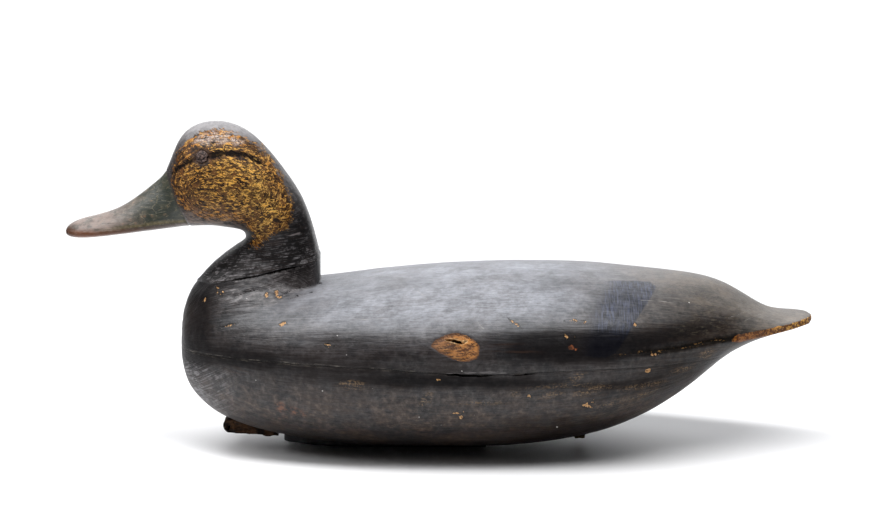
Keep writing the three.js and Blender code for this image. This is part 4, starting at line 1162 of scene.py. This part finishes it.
def head_paint(s):
    spot, flow, strokes = s.place(), s.flow("flow"), s.flow("strokes")
    x = s.part(flow, 0)
    z = s.part(spot, 2)
    broad = s.noise(spot, 24)
    mottle = s.noise(spot, 3, 4, 0.65)
    speck = s.noise(spot, 0.8, 2)
    brushed = s.noise(spot, (11, 5, 1.1), 4, 0.62)
    up = s["up"]

    paint = Coats(s, broad.span(0.4, 0.6), BLACK, SOOT)
    paint(brushed.span(0.46, 0.66) * 0.6, (0.055, 0.036, 0.03))
    # painted shade: near black on the throat, jaw, nape and neck
    paint(s["shade"] * 0.8, (0.0055, 0.005, 0.005))
    scratches = s.threads(s.turned(spot, 8), (26, 9, 1.1), 0.055, 33) * mottle.span(0.4, 0.6)
    paint(scratches * (z.span(126, 108) * 0.3 + 0.16), (0.31, 0.29, 0.3))
    # painted sheen: paler grey on what faces up, most on the crown, kept out of the painted shade
    pale = up.span(0.15, 0.9) * (0.2 + mottle.span(0.35, 0.65) * 0.22 + z.span(172, 186) * 0.3)
    paint(pale * (1 - s["shade"] * 0.85), (0.36, 0.35, 0.36))

    # cheek: fine gold strokes in several directions over dark paint
    cheek = s["cheek"]
    edge = cheek.span(0.5, 10)
    bent = s.noise(strokes, (5, 0.75, 2), 3, 0.6)
    level = s.noise(spot, (5, 6, 0.75), 3, 0.62, 4)
    falling = s.noise(s.turned(spot, 52), (0.8, 6, 6), 3, 0.6, 8)
    rising = s.noise(s.turned(spot, -28), (5, 6, 0.8), 3, 0.6, 15)
    areas = s.noise(spot, 9, 3, 0.6, 20)
    sparse = (x * 0.02 + 2.75 + areas.sway(1.6)).fade(0, 0.6)
    thin = sparse * 0.035
    cover = (bent - thin).span(0.492, 0.532)
    cover = cover.top((level - thin).span(0.528, 0.562) * (areas - 0.1).span(0.3, 0.42))
    cover = cover.top((falling - thin).span(0.565, 0.605)).top((rising - thin).span(0.565, 0.605) * 0.95)
    gaps = s.noise(spot, (3.6, 3, 1.5), 3, 0.62, 71).fade(0.43, 0.49)
    dashes = s.noise(strokes, (2.6, 0.9, 2), 2, 0.5, 101).top(s.noise(spot, (2.4, 3, 0.9), 2, 0.5, 105))
    gaps = gaps.top(dashes.fade(0.5, 0.535))
    gold_share = cover * speck.span(0.3, 0.5, 0.6, 1) * (0.8 + edge * 0.2) * (1 - gaps * 0.9)
    tip = z.fade(118, 134)
    rough_edge = bent.sway(6) + (falling - 0.5) * (7 + tip * 12) + mottle.sway(2)
    within = (cheek - tip * 1.5 + rough_edge).span(-0.8, 1)
    tint = (edge * 0.8 + areas.sway(1.3) + mottle.sway(0.8)).span(0.1, 0.9)
    tint = tint * x.span(-150, -112, 0.4, 1)
    gold = Coats(s, tint, (0.5, 0.185, 0.022), (0.76, 0.385, 0.062))
    bright = s.threads(strokes, (6, 0.9, 2), 0.08, 41).top(s.threads(s.turned(spot, 50), (1, 6, 7), 0.07, 45))
    bright = (bright * mottle.span(0.35, 0.6) * 0.6).top(speck.span(0.55, 0.72) * 0.4)
    gold(bright + x.span(-118, -98) * 0.18, (0.88, 0.55, 0.15))
    scored = s.threads(s.turned(spot, -32), (6, 6, 1.2), 0.05, 55)
    scored = s.threads(strokes, (5, 1.1, 2), 0.05, 51).top(scored)
    gold(scored * mottle.span(0.42, 0.6) * 0.85, (0.05, 0.02, 0.008))
    under = s.mix(mottle.span(0.44, 0.64), (0.014, 0.007, 0.004), (0.12, 0.046, 0.011))
    paint(within, s.mix(gold_share, under, gold))

    # pale brow, a painted highlight over rubbed paint, and greyed jaw
    brow = s["brow"].span(-0.8, 2.6) * (mottle * 0.6 + level * 0.6).span(0.5, 0.72)
    paint(brow * 0.75, s.mix(speck.span(0.4, 0.6), (0.3, 0.22, 0.2), (0.72, 0.62, 0.55)))
    jaw = (0 - up).span(0.25, 0.75) * z.span(120, 128) * s["bill"].fade(-1, 0)
    jaw = jaw * x.fade(-122, -104)
    worn = (mottle * 0.5 + s.noise(s.turned(spot, -30), (5, 4, 0.8), 3, 0.6, 61) * 0.7).span(0.52, 0.7)
    paint(jaw * worn * 0.42, (0.32, 0.22, 0.16))

    stripe = (s["stripe"] + falling.sway(3.6) + mottle.sway(2.4)).fade(-0.3, 0.8)
    paint(stripe * 0.96, (0.006, 0.005, 0.005))
    ring = (s["eye"] - 4.4 + mottle.sway(2)).size().fade(0.3, 1)
    paint(ring * 0.4, (0.016, 0.009, 0.007))
    socket = (s["eye"] + mottle.sway(3)).fade(4.2, 6.4)
    paint(socket * 0.85, s.mix(mottle.span(0.4, 0.6), (0.018, 0.011, 0.009), (0.075, 0.04, 0.025)))

    # bill: olive grey at its root, pinkish brown towards the tip, with fine cracks in the paint
    bill = (s["bill"] + mottle.sway(0.5)).span(-0.15, 0.25)
    toward_tip = x.fade(-204, -158)
    blotch = s.noise(spot, (7, 7, 3.5), 4, 0.65, 111)
    shell = Coats(s, (toward_tip + mottle.sway(0.5)).span(0, 1), (0.032, 0.038, 0.03), (0.21, 0.16, 0.14))
    shell(blotch.span(0.5, 0.62) * 0.5, s.mix(toward_tip, (0.085, 0.078, 0.055), (0.3, 0.22, 0.19)))
    shell(blotch.fade(0.38, 0.48) * 0.6, (0.05, 0.052, 0.045))
    shell(mottle.span(0.56, 0.68) * blotch.span(0.45, 0.6) * 0.5, (0.3, 0.17, 0.09))
    cells = {"Vector": s.scaled(spot, (0.16, 0.2, 0.34)), "Scale": 1}
    net = s.value("ShaderNodeTexVoronoi", cells, feature="DISTANCE_TO_EDGE")
    lines = net.fade(0, 0.06) * mottle.span(0.46, 0.58)
    shell(lines * (1 - toward_tip * 0.8) * 0.45, (0.24, 0.2, 0.11))
    band = (s["band"] + mottle.sway(4) + blotch.sway(3)).fade(0.2, 1.7)
    shell(band * (1 - toward_tip) * 0.7, s.mix(mottle.span(0.4, 0.6), (0.1, 0.08, 0.032), (0.22, 0.17, 0.07)))
    lower = (s["edge"] + mottle.sway(1.6)).fade(0.9, 3.2)
    shell(lower * 0.92, s.mix(toward_tip, (0.055, 0.028, 0.016), (0.13, 0.042, 0.013)))
    shell(x.fade(-214, -206) * 0.75, (0.05, 0.024, 0.014))
    shell(up.span(0.3, 0.95) * mottle.span(0.35, 0.6) * 0.14, (0.4, 0.38, 0.35))
    paint(bill, shell)
    paint(s["bill"].size().fade(0.25, 0.8) * 0.6, (0.05, 0.045, 0.035))
    paint(s["joint"].fade(0.3, 0.9), CRACK)
    paint(s["neck_line"].fade(0.25, 0.7) * brushed.span(0.4, 0.6) * 0.6, (0.22, 0.19, 0.19))

    rough = 0.42 + stripe * 0.2 + mottle.sway(0.2) + within * 0.1 + up.span(0.3, 0.9) * 0.12 - bill * 0.04
    height = (brushed - 0.5) * (0.2 + s["neck"] * 0.25) + mottle.sway(0.09) + speck.sway(0.04)
    height = height + within * gold_share * 0.07 + lines * bill * 0.1
    gloss = mottle.span(0.3, 0.7, 0.3, 0.42) * (1 - s["shade"].span(0, 1) * 0.7) * (1 - stripe * 0.8)
    gloss = gloss * (1 - within * 0.4)
    return paint, rough, height, gloss


def surface(mottle, speck, bumps, rough, gloss):
    """Roughness, height and gloss of a small piece, from its coarser and its finer noise."""
    height = mottle.sway(bumps[0]) + speck.sway(bumps[1])
    return rough + mottle.sway(0.3), height, mottle.span(0.3, 0.7, *gloss)


def lead_finish(s):
    spot = s.place()
    mottle, speck = s.noise(spot, 3, 4, 0.65), s.noise(spot, 0.9, 2)
    paint = Coats(s, s.noise(spot, 14).span(0.38, 0.62), (0.013, 0.013, 0.014), (0.03, 0.03, 0.032))
    paint(mottle.span(0.56, 0.7) * 0.6, (0.085, 0.085, 0.09))
    return paint, *surface(mottle, speck, (0.25, 0.05), 0.55, (0.3, 0.6))


def nail_finish(s):
    spot = s.place()
    mottle, speck = s.noise(spot, 1.8, 4, 0.65), s.noise(spot, 0.5, 2)
    paint = Coats(s, mottle.span(0.42, 0.6), (0.045, 0.026, 0.018), (0.15, 0.07, 0.035))
    return paint, *surface(mottle, speck, (0.16, 0.05), 0.6, (0.2, 0.5))


def eye_finish(s):
    spot = s.place()
    mottle, speck = s.noise(spot, 1.5, 4, 0.7), s.noise(spot, 0.5, 2)
    paint = Coats(s, mottle.span(0.4, 0.6), (0.008, 0.006, 0.006), (0.095, 0.055, 0.044))
    paint((speck * 0.6 + mottle * 0.6).span(0.66, 0.74) * 0.6, (0.32, 0.23, 0.2))
    return paint, *surface(mottle, speck, (0.3, 0.08), 0.6, (0.15, 0.45))


def leather_finish(dark, light):
    def build(s):
        spot = s.place()
        broad, mottle, speck = s.noise(spot, 7), s.noise(spot, 1.6, 4, 0.7), s.noise(spot, 0.5, 2)
        fibres = s.noise(spot, (5, 1.2, 0.7), 4, 0.65)
        paint = Coats(s, (broad + fibres.sway(0.8)).span(0.35, 0.68), dark, light)
        paint(mottle.span(0.58, 0.7) * 0.4, tuple(2.2 * c for c in light))
        height = fibres.sway(0.4) + mottle.sway(0.25) + speck.sway(0.08)
        return paint, 0.72 + mottle.sway(0.25), height, mottle.span(0.3, 0.7, 0.1, 0.4)

    return build


# the body and head paints hold real wear together with painted shade, sheen and highlight
painted_body = material("worn_body_paint_with_painted_light", body_paint)
for piece in (body_upper, body_lower):
    paint_with(piece, painted_body)
paint_with(head, material("worn_head_paint_with_painted_light", head_paint))
nails, eyes = material("worn_nail", nail_finish), material("worn_eye", eye_finish)
finishes = {"eye_tack_left": eyes, "eye_tack_right": eyes, "lead_strip": material("old_lead", lead_finish)}
leather = leather_finish((0.009, 0.005, 0.003), (0.09, 0.042, 0.017))
finishes["line_loop"] = material("dry_leather", leather)
leather = leather_finish((0.05, 0.036, 0.014), (0.17, 0.12, 0.045))
finishes["rear_stub"] = material("olive_leather", leather)
for name, piece in worn.items():
    paint_with(piece, finishes.get(name, nails))

# ---- floor, light and camera, in metres
FLOOR_RADIUS = 0.7
FLOOR_WHITE = (0.9, 0.9, 0.91, 1)
SKY_WHITE, SKY_TINT = 1.15, (0.97, 0.98, 1)
BACKDROP, GROUND, HORIZON_DARK, OVERHEAD = 2.0, 0.15, 0.012, 0.2
# Lights: place, point aimed at, width and depth, power in watts
LIGHTS = {
    "softbox": ((-0.12, -0.2, 1.25), (-0.05, 0, 0.05), (2, 0.42), 27),
    "left_fill": ((-0.9, -0.3, 0.9), (0.1, 0, 0.05), (0.5, 0.5), 4),
}

floor = linked("floor", bpy.data.meshes.new("floor"))
edit(floor, lambda bm: bmesh.ops.create_circle(bm, cap_ends=True, radius=FLOOR_RADIUS, segments=96))
white = bpy.data.materials.new("floor_white")
white.use_nodes = True
white.node_tree.nodes["Principled BSDF"].inputs["Base Color"].default_value = FLOOR_WHITE
paint_with(floor, white)
floor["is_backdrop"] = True

world = bpy.data.worlds.new("studio")
bpy.context.scene.world = world
world.use_nodes = True
world.node_tree.nodes.clear()
w = Shade(world.node_tree)
direction = w.add("ShaderNodeTexCoord", out="Generated")
x, y, z = (w.part(direction, axis) for axis in "XYZ")
behind = y.span(0.2, 0.6, 0, BACKDROP) * x.size().fade(0.25, 0.55)
strength = z.span(0.45, 0.8, HORIZON_DARK, OVERHEAD).top(behind).top(z.span(-0.12, -0.02, GROUND, 0))
lit = w.add("ShaderNodeBackground", {"Color": SKY_TINT, "Strength": strength})
shown_white = w.add("ShaderNodeBackground", {"Color": (1, 1, 1), "Strength": SKY_WHITE})
camera_ray = w.add("ShaderNodeLightPath", out="Is Camera Ray")
shown = w.add("ShaderNodeMixShader", {0: camera_ray, 1: lit, 2: shown_white})
w.add("ShaderNodeOutputWorld", {"Surface": shown}, out=None)


def aim(obj, direction):
    obj.rotation_euler = direction.to_track_quat("-Z", "Y").to_euler()


for name, (place, target, sides, power) in LIGHTS.items():
    data = bpy.data.lights.new(name, "AREA")
    data.shape = "RECTANGLE"
    data.size, data.size_y = sides
    data.energy = power
    light = linked(name, data)
    light.location = place
    aim(light, Vector(target) - Vector(place))

camera = linked("camera", bpy.data.cameras.new("camera"))
camera.data.sensor_width = SENSOR
camera.data.lens = SENSOR * FOCAL_PIXELS / PHOTO_WIDTH
camera.data.clip_end = 100
camera.location = CAMERA_TARGET - Vector(LOOK) * CAMERA_DISTANCE
aim(camera, Vector(LOOK))
bpy.context.scene.camera = camera
bpy.context.scene.view_settings.view_transform = "Standard"

plain_box = [[[float(v) for v in corner] for corner in box] for box in (cad_box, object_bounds())]
{"cad": plain_box[0], "visual": plain_box[1]}
